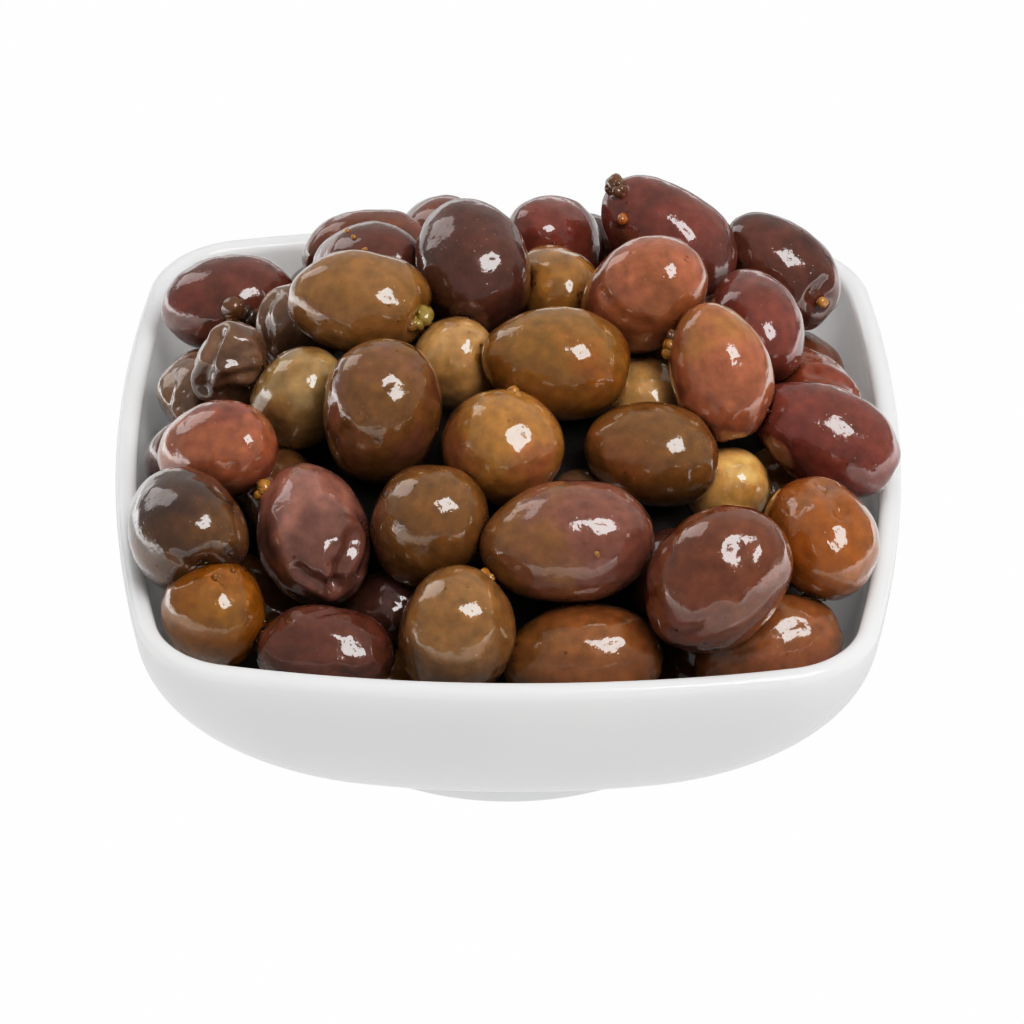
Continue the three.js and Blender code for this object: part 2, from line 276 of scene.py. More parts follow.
def outline(size, inset, is_round):
    """Radii and centres of the arcs of an outline, for arrays of half-sizes and insets.

    A side arc of radius R and a corner arc of radius r touch where the side arc has
    turned by pi / 4 + asin((half - R) / ((R - r) * sqrt 2)).
    """
    share = np.minimum(1, (HALF_WIDTH - size) / (HALF_WIDTH - WALL_BASE))
    side_share = np.where(is_round, 1 + NEARLY_ROUND, mix(SIDE_AT_LIP, SIDE_AT_BASE, share))
    corner_share = np.where(is_round, 1 - NEARLY_ROUND, mix(CORNER_AT_LIP, CORNER_AT_BASE, share))
    half = size - inset
    side = size * side_share - inset
    corner = np.maximum(size * corner_share - inset, 0)
    side_angle = math.pi / 4 + np.arcsin((half - side) / ((side - corner) * math.sqrt(2)))
    corner_centre = (side - corner) * np.sin(side_angle)
    return half, side, corner, side_angle, corner_centre


def outline_points(shape, quarters):
    """X and Y of outline points, at numbers of quarters round from the middle of +X."""
    half, side, corner, side_angle, corner_centre = shape
    quarter = np.round(quarters)
    t = (quarters - quarter) * 2
    size = np.abs(t)
    on_side = size <= SIDE_SHARE
    side_turn = side_angle * size / SIDE_SHARE
    corner_turn = mix(side_angle, math.pi / 4, (size - SIDE_SHARE) / (1 - SIDE_SHARE))
    x = np.where(on_side, half - side + side * np.cos(side_turn),
                 corner_centre + corner * np.cos(corner_turn))
    y = np.where(on_side, side * np.sin(side_turn),
                 corner_centre + corner * np.sin(corner_turn)) * np.sign(t)
    turned = quarter * HALF_PI
    return x * np.cos(turned) - y * np.sin(turned), x * np.sin(turned) + y * np.cos(turned)


def outer_size(u):
    """Half-size of the outside: from the base to the lip as a power of sin u."""
    return mix(WALL_BASE, HALF_WIDTH, np.sin(u) ** SWELL)


def inside_inset(u):
    """How far the inside lies in from the outside at the same u."""
    return outer_size(u) - mix(FLOOR_HALF, HALF_WIDTH - LIP, np.sin(u) ** SWELL)


def wall_z(u, low):
    """Height at u, from low at the base to the top of the wall as a power of cos u."""
    return mix(WALL_TOP, low, np.cos(u) ** RISE)


# %% [markdown]
# The dish is one closed skin, so it is one grid. Its rings start in the middle of the
# underside, go out over the foot, up the outside of the wall, over the lip, down the
# inside, and in to the middle of the floor. The foot's edges and the lip are small arcs.

# %% The dish as one surface
DISH_COLUMNS = 256
WALL_ROWS = 40
LIP_ROWS = 16
FLOOR_ROWS = 10
EDGE_ROWS = 5  # over each edge of the foot
FIRST_RADIUS = 4.0  # of the first ring under the base
LAST_SHARE = 0.1  # size of the last ring on the floor, as a share of the floor's
SMALLEST = 1.0  # half-size of the smallest outline that has arcs
SLIVER = 0.001  # what an inset leaves of it


def edge_rings(radius, turn_from, turn_to):
    """Rings over one edge of the foot, an arc with its centre at this radius."""
    turns = np.linspace(turn_from, turn_to, EDGE_ROWS)
    return [(radius + FOOT_EDGE * math.cos(a), 0, FOOT_EDGE * (1 + math.sin(a)), 1) for a in turns]


def dish_rings():
    """All rings as (half-size, inset, height, round), from under the base to the floor."""
    inside = FOOT_RADIUS - FOOT_WIDTH
    recess = np.linspace(FIRST_RADIUS, inside - FOOT_COVE[0], FLOOR_ROWS)
    rings = [(radius, 0, RECESS_Z, 1) for radius in (0, *recess)]
    rings += [
        (inside - FOOT_EDGE, 0, RECESS_Z - FOOT_COVE[1] / 3, 1),
        (inside - FOOT_EDGE / 2, 0, RECESS_Z - FOOT_COVE[1], 1),
    ]
    rings += edge_rings(inside + FOOT_EDGE, math.pi, 3 * HALF_PI)
    rings += edge_rings(FOOT_RADIUS - FOOT_EDGE, -HALF_PI, 0)
    rings += [
        (FOOT_RADIUS - FOOT_WAIST / 2, 0, FOOT_HEIGHT / 2, 1),
        (FOOT_RADIUS - FOOT_WAIST, 0, FOOT_HEIGHT - 2 * FOOT_WAIST, 1),
        (FOOT_RADIUS - FOOT_WAIST / 4, 0, FOOT_HEIGHT - FOOT_WAIST, 1),
        (FOOT_RADIUS + FOOT_WAIST / 2, 0, FOOT_HEIGHT - FOOT_WAIST / 4, 1),
    ]
    u = np.linspace(FIRST_U, HALF_PI, WALL_ROWS)[1:]
    rings += list(zip(outer_size(u), 0 * u, wall_z(u, FOOT_HEIGHT), 0 * u))
    turns = np.linspace(0, math.pi, LIP_ROWS + 1)[1:-1]
    rings += [(HALF_WIDTH, LIP / 2 * (1 - math.cos(a)), WALL_TOP + LIP / 2 * math.sin(a), 0)
              for a in turns]
    u = np.linspace(HALF_PI, 0, WALL_ROWS)
    rings += list(zip(outer_size(u), inside_inset(u), wall_z(u, FLOOR_Z), 0 * u))
    shares = (*np.linspace(1, LAST_SHARE, FLOOR_ROWS)[1:], 0)
    rings += [(WALL_BASE, WALL_BASE - FLOOR_HALF * share, FLOOR_Z, 0) for share in shares]
    return np.array(rings, float)


def dish_surface():
    """The dish: X and Y from each ring's outline, Z from the ring itself."""
    size, inset, z, is_round = dish_rings().T[..., None]
    quarters = 4 * np.arange(DISH_COLUMNS)[None, :] / DISH_COLUMNS - 1
    shape = outline(np.maximum(size, SMALLEST), np.minimum(inset, size - SLIVER), is_round > 0)
    x, y = outline_points(shape, quarters)
    grid = np.stack([x, y, z + 0 * x], -1)
    grid[[0, -1], :, :2] = 0
    return grid


# %% [markdown]
# Porcelain is fired white clay under a clear glaze. The glaze gives a sharp, colourless
# gloss over a bright, even white, and a very slight waviness where it ran before it set.
# The clay is dense but lets light a few millimetres in, so some goes right through the
# thin wall and lifts its shaded side. Under the foot the glaze is wiped off, and the bare
# biscuit there is matt and warmer. Plain white paint would look dead and flat here.

# %% Porcelain
GLAZED_WHITE = "#f4f5f5"
BARE_CLAY = "#e6dfd3"
BARE_BELOW_MM = (0.4, 0.2)  # the heights between which the glaze gives way to bare clay
GLAZE_ROUGH = 0.12
CLAY_ROUGH = 0.7
GLAZE_WAVE_MM = 25  # length of the glaze's waves
GLAZE_WAVE_DEEP_MM = 1.0
GLAZE_WAVE_STRENGTH = 0.15
GLAZE_IOR = 1.5
CLAY_CLEAR = 0.7  # share of the light that goes into the clay
CLAY_REACH_MM = 9  # and how far


def glazed_porcelain():
    """White body that light goes 9 mm into, clear gloss with a wave of 25 mm, bare foot."""
    material, tree = new_material("porcelain_clear_glaze")
    place = add_node(tree, "ShaderNodeTexCoord").outputs["Object"]
    height = add_node(tree, "ShaderNodeSeparateXYZ", {0: place}).outputs["Z"]
    bare = add_node(tree, "ShaderNodeMapRange", {
        "Value": height, "From Min": BARE_BELOW_MM[0] * MM, "From Max": BARE_BELOW_MM[1] * MM,
    }).outputs["Result"]
    colour = add_node(tree, "ShaderNodeMix", {
        0: bare, 6: rgba(GLAZED_WHITE), 7: rgba(BARE_CLAY),
    }, data_type="RGBA").outputs[2]
    rough = add_node(tree, "ShaderNodeMapRange", {
        "Value": bare, "To Min": GLAZE_ROUGH, "To Max": CLAY_ROUGH,
    }).outputs["Result"]
    wave = add_node(tree, "ShaderNodeTexNoise", {
        "Vector": place, "Scale": 1 / (GLAZE_WAVE_MM * MM), "Detail": 1.0,
    }).outputs["Fac"]
    bump = add_node(tree, "ShaderNodeBump", {
        "Height": wave, "Strength": GLAZE_WAVE_STRENGTH, "Distance": GLAZE_WAVE_DEEP_MM * MM,
    }).outputs["Normal"]
    end_in(tree, "ShaderNodeBsdfPrincipled", {
        "Base Color": colour, "Roughness": rough, "Normal": bump, "IOR": GLAZE_IOR,
        "Subsurface Weight": CLAY_CLEAR, "Subsurface Radius": (1.0, 1.0, 1.0),
        "Subsurface Scale": CLAY_REACH_MM * MM,
    })
    return material


dish_grid = dish_surface()
dish_quads, dish_triangles = closed_grid_faces(len(dish_grid) - 2, DISH_COLUMNS)
dish = add_piece("dish_glazed", with_poles(dish_grid), dish_quads, dish_triangles,
                 glazed_porcelain())
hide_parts("dish")

# %% [markdown]
# ## Where the olives lie
# The olives that show are placed one by one, each on the slanting face of the heap that
# the camera looks at: how far across, how far up and how far out of that face, how its
# long axis lies and nods, and its length and girth. These are the solid's own values,
# so every skin lies where the solid has its olive. After them come its colours: the
# skin's main colour, a second one, and where the second shows: at the end that the axis
# points to (1), at the other end (-1) or in patches (0).

# %% The olives that show
ROWS = {
    "front": [
        (-51.5, -29, 36, 80, 50, 21, 18.5, "amber", "moss", 0),
        (-32, -35, 39, -5, 0, 24.5, 16.5, "wine", "rust", 0),
        (-9, -32, 41.5, 80, 48, 27, 20.5, "tan", "umber", -1),
        (13, -36, 35.5, 3, 0, 29, 19.5, "chestnut", "umber", -1),
        (46, -34, 32, 20, 0, 27, 18, "chestnut", "brick", 0),
        (-22.5, -28.5, 22, 0, 60, 22, 15.5, "plum", "night", 0),
        (30, -40, 18, 0, 65, 22, 15, "plum", "cocoa", 0),
    ],
    "second": [
        (-56.5, -14, 32.5, -60, 50, 28, 20.5, "cocoa", "umber", 0),
        (-34.3, -14.5, 28.5, -75, 35, 28, 20, "mauve", "plum", 1),
        (-14, -13, 32, 60, 55, 26, 20.5, "umber", "moss", -1),
        (10.5, -15.5, 38, 5, 0, 31.5, 21.5, "dusk", "moss", -1),
        (36.5, -22, 45, 45, 30, 30.5, 23, "rust", "claret", -1),
        (55, -14.5, 29.5, -55, 45, 25.5, 19.3, "russet", "chestnut", 0),
    ],
    "third": [
        (-57, -2, -1, 50, 55, 22, 15, "wine", "claret", 0),
        (-51.5, 0, 18, 10, 35, 24, 17.5, "brick", "claret", 0),
        (-37.5, 9, 8, 60, 50, 24, 16.5, "sage", "umber", 0),
        (-22.5, 7, 21, 85, 35, 28, 21.5, "umber", "dusk", 0),
        (-1.5, 1, 24, 0, 65, 27, 20.5, "ochre", "brick", 0),
        (25.5, 0, 22, -12, 0, 24.5, 19, "umber", "chestnut", 0),
        (38, -6.5, 8.5, 30, 65, 23, 15.5, "gold", "ochre", 0),
        (56.3, 3.2, 11.5, -28, 0, 28, 18.5, "claret", "wine", 0),
    ],
    "fourth": [
        (-56, 10.5, -14.5, 75, -60, 22, 13.5, "earth", "umber", 0),
        (-49.5, 15, 1.5, 70, 55, 22, 13.5, "earth", "cocoa", 0),
        (-9.5, 15, 4.5, 80, 65, 24, 16.5, "straw", "tan", 0),
        (8.5, 16, 15.5, -8, 0, 27, 20, "moss", "russet", 0),
        (23.5, 9.5, 2, 0, 65, 22, 15.5, "straw", "ochre", 0),
        (37.5, 14.5, 16.5, -75, 0, 25.5, 18, "brick", "ochre", -1),
        (53.8, 10.8, -7.5, -35, 50, 24, 15.5, "copper", "claret", 0),
        (44, 23, -2.5, -70, 40, 24, 17, "claret", "wine", 0),
    ],
    "crown": [
        (-37.5, 22, -11, 60, 55, 22, 15.5, "earth", "plum", 0),
        (-26.5, 26.5, 6, -6, 0, 26, 19, "tan", "moss", 1),
        (-6.5, 33.5, -1.5, -70, 30, 26, 20.5, "plum", "wine", 0),
        (8, 29.5, -10, -20, 70, 24, 15.5, "ochre", "umber", 0),
        (23.5, 28, 6.5, 40, 40, 27, 19.5, "brick", "chestnut", 0),
    ],
    "back": [
        (-50.5, 26.5, -25, 5, 0, 24.5, 18, "wine", "claret", 0),
        (-26, 36, -29.5, 8, 0, 23.5, 16.5, "rust", "claret", 0),
        (-25.5, 33, -13, 0, 45, 24, 16.5, "wine", "rust", -1),
        (-12, 38.5, -41, 0, 70, 22, 16.5, "rust", "claret", 0),
        (8, 38, -26, -40, -60, 24, 16.5, "claret", "wine", 0),
        (14.5, 36, -40, 0, 75, 22, 15, "plum", "night", 0),
        (28.5, 39, -20, -38, 0, 28, 18.5, "claret", "plum", 0),
        (49, 33.5, -27.5, -45, 0, 25, 17, "wine", "night", 0),
    ],
}
SKINS = {
    "night": "#3b221e",
    "wine": "#63382a",
    "plum": "#5a372c",
    "dusk": "#7f5143",
    "claret": "#7b4034",
    "mauve": "#98685a",
    "rust": "#73422a",
    "copper": "#8a472f",
    "brick": "#a26346",
    "chestnut": "#8c5930",
    "russet": "#985921",
    "cocoa": "#493022",
    "earth": "#80614b",
    "umber": "#7b542a",
    "moss": "#8d632c",
    "tan": "#8f663a",
    # sage, straw and gold are pale yellow-brown skins, made paler still as painted light: their olives
    # lie deep in the heap, where the lamps here reach them less
    "sage": "#ab8c5c",
    "ochre": "#a7773b",
    "straw": "#cda26a",
    "gold": "#f2c07a",
    "amber": "#8e560c",
}
END_ON = 0.2  # an axis that leaves less than this of the face's direction is end on


def olive_at(name, centre, axis, length, girth, skin, second, end=0):
    """An olive as plain values. Its frame's rows are its axis, its face and its side.

    The face is the side that looks out of the heap or, where the olive is end on, up it.
    """
    face = out_of_face - (out_of_face @ axis) * axis
    if np.linalg.norm(face) < END_ON:
        face = up_face - (up_face @ axis) * axis
    face = unit(face)
    return {"name": name, "centre": centre, "frame": np.stack([axis, face, np.cross(axis, face)]),
            "length": length, "girth": girth, "half": np.array([length, girth, girth]) / 2,
            "skin": skin, "second": second, "end": end}


def place_olive(entry, name):
    """Turns a place on the slanting face into a centre and an axis."""
    right, up, out, lie, nod, length, girth, skin, second, end = entry
    centre = face_centre + right * across + up * up_face + out * out_of_face
    lie, nod = math.radians(lie), math.radians(nod)
    level = math.cos(lie) * across + math.sin(lie) * up_face
    axis = math.cos(nod) * level + math.sin(nod) * out_of_face
    return olive_at(name, centre, axis, length, girth, skin, second, end)


def seen_from(olive, points):
    """Points in the olive's own frame, measured from its centre."""
    return (points - olive["centre"]) @ olive["frame"].T


shown = [place_olive(entry, f"{row}_{i}") for row, entries in ROWS.items()
         for i, entry in enumerate(entries)]
print(len(shown), "olives show")

# %% [markdown]
# The rest of the heap is filled by the same rule as in the solid: places on a staggered
# grid are tried in turn, each from the top down, until an olive fits without crossing
# its neighbours or the wall. What it may touch is tested with three balls for each
# olive, which is much quicker than with its skin.

# %% Room in the heap
GAP = 0.5  # between the heap and the dish
SQUASH = 1.5  # how far two neighbours may press into each other
CORE_EDGE_DEPTH = 25.0  # how far below the lip the core meets the wall
CORE_CROWN = 12.0  # how far the core rises above the lip at its top
CORE_BACK = 8.0  # how far its top lies behind the dish's middle
CORE_FALL = (14.0, 21.0)  # how far it falls, along X and along Y, in CORE_REACH
CORE_REACH = 50.0
CORE_BRIM = 6  # the power that keeps the fall to the wall close to the wall
TIP_GIRTH = 0.93  # how full an olive is near its ends
WALL_LEVELS = np.array([-0.7, 0, 0.7])  # where a ball is tried against the wall, in its radius


def core_top(share, x, y):
    """Height of the core's top: a dome that falls to the wall near the edge."""
    fall = CORE_FALL[0] * (x / CORE_REACH) ** 2 + CORE_FALL[1] * ((y - CORE_BACK) / CORE_REACH) ** 2
    dome = np.maximum(CORE_CROWN - fall, -CORE_EDGE_DEPTH)
    return HEIGHT + mix(dome, -CORE_EDGE_DEPTH, share**CORE_BRIM)


def balls(centre, axis, length, girth):
    """Three balls along an olive, for testing what it touches: centres and radii."""
    reach = length / 2 - girth / 2
    centres = centre + np.array([[0.0], [reach], [-reach]]) * axis
    return centres, girth / 2 * np.array([1, TIP_GIRTH, TIP_GIRTH])


def room_to_wall(x, y, z):
    """Level distance from points to the inside of the dish's wall."""
    rise = np.clip((WALL_TOP - z) / (WALL_TOP - FLOOR_Z), 0, 1)
    u = np.arccos(rise ** (1 / RISE))
    half, side, corner, side_angle, corner_centre = outline(outer_size(u), inside_inset(u), False)
    long = np.maximum(np.abs(x), np.abs(y))
    short = np.minimum(np.abs(x), np.abs(y))
    along = long - (half - side)
    to_side = side - np.hypot(along, short)
    to_corner = corner - np.hypot(long - corner_centre, short - corner_centre)
    room = np.where(np.arctan2(short, along) <= side_angle, to_side, to_corner)
    return np.where(z > WALL_TOP, np.inf, room)


def clear_of_wall(centres, radii):
    """True if three levels of each ball keep their distance from the wall."""
    z = centres[:, 2:] + WALL_LEVELS * radii[:, None]
    need = radii[:, None] * np.sqrt(1 - WALL_LEVELS**2) + GAP
    return bool((room_to_wall(centres[:, :1], centres[:, 1:2], z) >= need).all())


# %% [markdown]
# Blender's own random numbers would give another heap than the solid's. So the draws
# come from the same small rule as there, in the same order, and the same olives are
# found.

# %% The olives that fill the heap
FILL_SEED = 4
FILL_STEP = 8.0  # spacing of the places that are tried, along X
FILL_ROW_STEP = 6.96  # and along Y
FILL_JITTER = (4.0, 3.0)  # how much they stray, along X and along Y
FILL_ROWS = 17
FILL_COLUMNS = 7  # to each side of the middle
FILL_BACK = 56.0  # y of the first row
FILL_RISE = 10.0  # the highest place tried, above the core
FILL_DROP = 0.5  # then lower and lower by this
FILL_SINK = 0.25  # down to this share of a girth under the core's top
FILL_GIRTH = (14.0, 17.5)
FILL_SLENDER = (1.25, 1.45)  # length over girth
FILL_SKINS = ("cocoa", "umber", "plum", "moss", "rust", "tan", "earth")


def random_from(seed):
    """The same even random numbers, from 0 to 1, every time."""
    state = seed
    while True:
        state = (state * 1664525 + 1013904223) % 2**32
        yield state / 2**32


def draw_filler(draw, row, column):
    """The next filler by six draws: its place from above, its axis, length and girth."""
    x = (column + (row % 2) / 2) * FILL_STEP + (next(draw) - 0.5) * FILL_JITTER[0]
    y = FILL_BACK - row * FILL_ROW_STEP + (next(draw) - 0.5) * FILL_JITTER[1]
    girth = mix(*FILL_GIRTH, next(draw))
    length = girth * mix(*FILL_SLENDER, next(draw))
    heading = math.pi * next(draw)
    dip = next(draw) - 0.5
    level = np.array([math.cos(heading), math.sin(heading), 0])
    axis = level * math.cos(dip) + np.array([0, 0, math.sin(dip)])
    return x, y, axis, length, girth


def let_down(x, y, axis, length, girth, centres, radii):
    """The balls of an olive at the highest place where it is clear, or None."""
    top = core_top(min(max(abs(x), abs(y)) / (HALF_WIDTH - LIP), 1), x, y)
    z = top + FILL_RISE
    while z > top - girth * FILL_SINK:
        mine, sizes = balls(np.array([x, y, z]), axis, length, girth)
        gaps = np.linalg.norm(mine[:, None] - centres[None], axis=2)
        apart = (gaps >= sizes[:, None] + radii[None] - SQUASH).all()
        if apart and clear_of_wall(mine, sizes):
            return mine, sizes
        z -= FILL_DROP
    return None


def fill_heap(placed):
    """Fillers found by the rule, each with a skin in turn."""
    draw = random_from(FILL_SEED)
    tested = [balls(o["centre"], o["frame"][0], o["length"], o["girth"]) for o in placed]
    centres, radii = (np.concatenate(part) for part in zip(*tested))
    found = []
    for row in range(FILL_ROWS):
        for column in range(-FILL_COLUMNS, FILL_COLUMNS + 1):
            x, y, axis, length, girth = draw_filler(draw, row, column)
            fit = let_down(x, y, axis, length, girth, centres, radii)
            if fit is None:
                continue
            count = len(found)
            skin = FILL_SKINS[count % len(FILL_SKINS)]
            second = FILL_SKINS[(count * 3 + 1) % len(FILL_SKINS)]
            found.append(olive_at(f"fill_{count}", fit[0][0], axis, length, girth, skin, second))
            centres = np.concatenate([centres, fit[0]])
            radii = np.concatenate([radii, fit[1]])
    return found


fillers = fill_heap(shown)
print(len(fillers), "olives fill the heap")

# %% [markdown]
# ## The shape of an olive
# An olive is an egg, a little fuller at one end. No two are alike: the flesh is uneven
# under the skin, the skin ripples, the stem leaves a small pit, and pressing leaves
# flats and dents. Sculpting each by hand would take days, so the egg is a surface of two
# angles, and each of these is one more term that moves its points in or out. Slow
# unevenness is a sum of sine waves in random directions.

# %% Relief terms
WAVES = 14
WAVE_SPREAD = (0.75, 1.35)  # their lengths, as shares of the length that is asked for


def waves(points, length_mm, rng):
    """Smooth noise from about -1 to 1: sine waves of near one length, in random directions."""
    directions = unit(rng.normal(size=(WAVES, 3)))
    lengths = length_mm * rng.uniform(*WAVE_SPREAD, WAVES)
    phases = rng.uniform(0, 2 * math.pi, WAVES)
    angles = points @ (directions / lengths[:, None]).T * 2 * math.pi + phases
    return np.sin(angles).sum(-1) * math.sqrt(2 / WAVES) / 2


def dent(points, centre, radius, depth):
    """A round hollow: -depth at its centre, falling off as a bell curve."""
    away = ((points - centre) ** 2).sum(-1)
    return -depth * np.exp(-away / radius**2)


def distance_to_path(points, path):
    """Distance from each point to a line of a few straight stretches."""
    nearest = np.full(points.shape[:-1], np.inf)
    for start, end in zip(path[:-1], path[1:]):
        stretch = end - start
        share = np.clip(((points - start) @ stretch) / (stretch @ stretch), 0, 1)
        gap = np.linalg.norm(points - (start + share[..., None] * stretch), axis=-1)
        nearest = np.minimum(nearest, gap)
    return nearest


def fold(points, path, width, depth):
    """A crease along a path: a narrow valley between two soft, lower banks."""
    away = distance_to_path(points, path) / width
    return depth * (0.55 * np.exp(-((away - 1.7) ** 2)) - np.exp(-(away**2)))


# %% [markdown]
# Some marks have a place of their own, such as a stem pit or a deep fold. They are
# written as the pixel of the frame where they show, and a sight line through that pixel
# finds the spot on the olive's skin.

# %% Marks on single olives
PITS = {  # name: (pixel, radius, depth in mm), ...; a depth below 0 is a rise
    "front_0": [((222, 579), 1.3, 0.7), ((228, 586), 0.9, 0.5), ((214, 590), 0.8, 0.3)],
    "front_1": [((350, 650), 5.0, -0.5), ((279, 647), 1.6, 0.3)],
    "front_2": [((455, 642), 4.5, 0.5), ((470, 590), 2.5, 0.3)],
    "second_0": [((208, 579), 6.0, 4.0)],
    "second_1": [((348, 585), 4.0, 1.3), ((301, 524), 1.6, 0.3)],
    "second_4": [((738, 547), 3.3, 1.0)],
    "second_5": [((845, 512), 2.0, 1.0), ((812, 495), 3.0, 0.35)],
    "third_1": [((228, 462), 2.0, 0.3)],
    "third_3": [((392, 391), 1.6, 0.3), ((381, 402), 1.5, 0.25), ((368, 372), 1.4, 0.15)],
    "third_4": [((455, 452), 3.0, 0.4), ((517, 440), 2.4, 0.5)],
    "fourth_5": [((733, 402), 1.0, 0.5)],
    "fourth_0": [((176, 405), 1.3, 0.9), ((191, 386), 1.5, 1.0), ((197, 397), 1.0, 0.5)],
    "crown_1": [((424, 318), 2.6, 1.6), ((388, 295), 5.0, -0.5)],
    "crown_4": [((640, 278), 4.0, 0.6), ((660, 300), 3.0, 0.5)],
    "back_7": [((822, 300), 2.8, 1.8)],
    "back_6": [((660, 268), 5.0, 0.7), ((690, 238), 4.5, -0.45)],
}
FOLDS = {  # name: (pixels along it, width, depth in mm), ...
    "front_1": [(((334, 670), (352, 677), (370, 669)), 0.9, 0.4),
                (((318, 616), (334, 611), (350, 611)), 0.7, 0.25),
                (((352, 610), (364, 614), (378, 623)), 0.6, 0.25)],
    "second_0": [(((174, 556), (182, 566), (190, 575)), 0.9, 0.3)],
    "second_1": [(((352, 540), (340, 566), (338, 590)), 1.6, 1.1),
                 (((300, 570), (318, 582), (336, 586)), 1.2, 0.8),
                 (((332, 548), (326, 564), (320, 576)), 0.9, 0.4)],
    "second_4": [(((672, 636), (700, 630), (722, 612)), 1.4, 0.5)],
    "second_5": [(((826, 482), (836, 500), (840, 512)), 1.6, 0.7)],
    "front_4": [(((712, 660), (750, 648), (800, 622)), 1.0, 0.15)],
    "fourth_0": [(((184, 394), (187, 408), (189, 420)), 1.1, 0.5)],
    "fourth_1": [(((219, 335), (213, 352), (211, 368), (202, 386)), 1.4, 1.2),
                 (((222, 377), (236, 373), (250, 371)), 1.0, 0.7),
                 (((212, 394), (228, 389), (246, 394)), 2.0, 0.9),
                 (((226, 352), (236, 358), (246, 352)), 1.3, 0.4),
                 (((224, 358), (240, 363), (254, 359)), 0.8, 0.35)],
    "crown_0": [(((274, 300), (266, 324), (270, 346)), 1.4, 0.7)],
    "crown_4": [(((604, 296), (622, 316), (644, 322)), 1.2, 0.3)],
    "back_7": [(((800, 318), (812, 296), (826, 282)), 1.2, 0.5)],
    "fourth_6": [(((812, 372), (836, 380), (856, 392)), 1.2, 0.5)],
}


def spot_on(olive, pixel):
    """Where a sight line meets an olive, in the olive's own frame.

    The egg is taken as an ellipsoid, which turns into a ball of radius 1 when each of
    its axes is divided by its half-size. A line that misses gives its nearest point.
    """
    start = seen_from(olive, camera_at) / olive["half"]
    ray = olive["frame"] @ sight_line(pixel) / olive["half"]
    middle = -(start @ ray) / (ray @ ray)
    near = start + middle * ray
    inside = 1 - near @ near
    if inside > 0:
        near = near - ray * math.sqrt(inside / (ray @ ray))
    return unit(near) * olive["half"]


print(sum(map(len, PITS.values())), "pits and rises,", sum(map(len, FOLDS.values())), "folds")

# %% [markdown]
# Shrivelled olives have lost water, so their skin lies in long ridges that run from end
# to end. The ridges are sine waves too, but drawn out along the olive and folded at
# zero, which makes sharp valleys between round backs.
#
# Where two olives meet, the flesh of both gives way, so neither runs into the other. A
# cloth or soft body simulation could find that shape slowly. Moving each point that lies
# inside a neighbour part of the way out of it gives the same flat spots at once.

# %% One olive's shape
SHRIVELLED = {"front_1": 0.3, "front_5": 0.35, "fourth_0": 0.55, "fourth_1": 0.6,
              "crown_0": 0.35, "front_6": 0.35, "back_1": 0.2, "second_1": 0.25,
              "back_2": 0.25, "fourth_6": 0.3}
TAPER = 0.07  # how much fuller it is towards the end that its axis points to
UNEVEN = (  # height and length in mm
    (0.32, 14),  # of the flesh's slow waves
    (0.0704, 6),  # of its smaller ones
    (0.05, 3.2),  # of the skin's ripples
)
RIDGES = ((2.2, 12, 0.03), (0.3, 5.5, 0.02))  # height, length, softness of the valleys
RIDGE_DRAWN = np.array([0.4, 1, 1])  # how a ridge is drawn out along the olive
RIDGE_BEND = (0.9, 12)  # how far it strays from straight, and over what length
PIT = (1.8, 0.9)  # radius and depth of the stem's pit
PRESS_GAP = 0.04  # between two olives that press on each other
YIELD = 0.4  # how much more than half the olive further in gives way
YIELD_MM = 3.0  # when it lies this much further in


def relief(olive, points, rng):
    """How far each point of the egg moves out, in mm: the sum of all its terms.

    The stem's own pit is at the end that points into the heap.
    """
    total = sum(height * waves(points, length, rng) for height, length in UNEVEN)
    dry = SHRIVELLED.get(olive["name"], 0)
    if dry:
        bend = RIDGE_BEND[0] * waves(points, RIDGE_BEND[1], rng)
        drawn = points * RIDGE_DRAWN + bend[..., None]
        for height, length, soft in RIDGES:
            ridge = np.sqrt(waves(drawn, length, rng) ** 2 + soft)
            total = total + dry * height * (ridge - 0.5)
    hidden_end = -1 if olive["frame"][0] @ out_of_face > 0 else 1
    total = total + dent(points, np.array([hidden_end * olive["half"][0], 0, 0]), *PIT)
    for pixel, radius, depth in PITS.get(olive["name"], []):
        total = total + dent(points, spot_on(olive, pixel), radius, depth)
    for pixels, width, depth in FOLDS.get(olive["name"], []):
        path = [spot_on(olive, pixel) for pixel in pixels]
        total = total + fold(points, path, width, depth)
    return total


def press(points, olive, others):
    """Moves points that lie inside a neighbour part of the way out of it.

    A point lies inside when, in the neighbour's frame divided by its half-sizes, it is
    less than 1 from the middle. The olive that lies further in gives way more.
    """
    for other in others:
        apart = np.linalg.norm(olive["centre"] - other["centre"])
        if other is olive or apart > olive["half"][0] + other["half"][0]:
            continue
        local = seen_from(other, points)
        full = 1 + TAPER * local[..., :1] / other["half"][0]
        scaled = local / (other["half"] * np.concatenate([np.ones_like(full), full, full], -1))
        far = np.linalg.norm(scaled, axis=-1, keepdims=True)
        depth = np.maximum(1 - far, 0) * np.linalg.norm(local, axis=-1, keepdims=True)
        ahead = (olive["centre"] - other["centre"]) @ out_of_face
        share = 0.5 - YIELD * np.clip(ahead / YIELD_MM, -1, 1)
        points = points + unit(points - other["centre"]) * (depth * share + PRESS_GAP * (depth > 0))
    return points


# %% [markdown]
# A ripening olive turns from green over brown to wine red, and not all over at once. So
# each has two colours: the second gathers at one end or lies in soft patches. Fine
# streaks along the olive and speckles make both uneven. Painting them by hand would
# give more control, but the same waves as above give each olive its own at once.

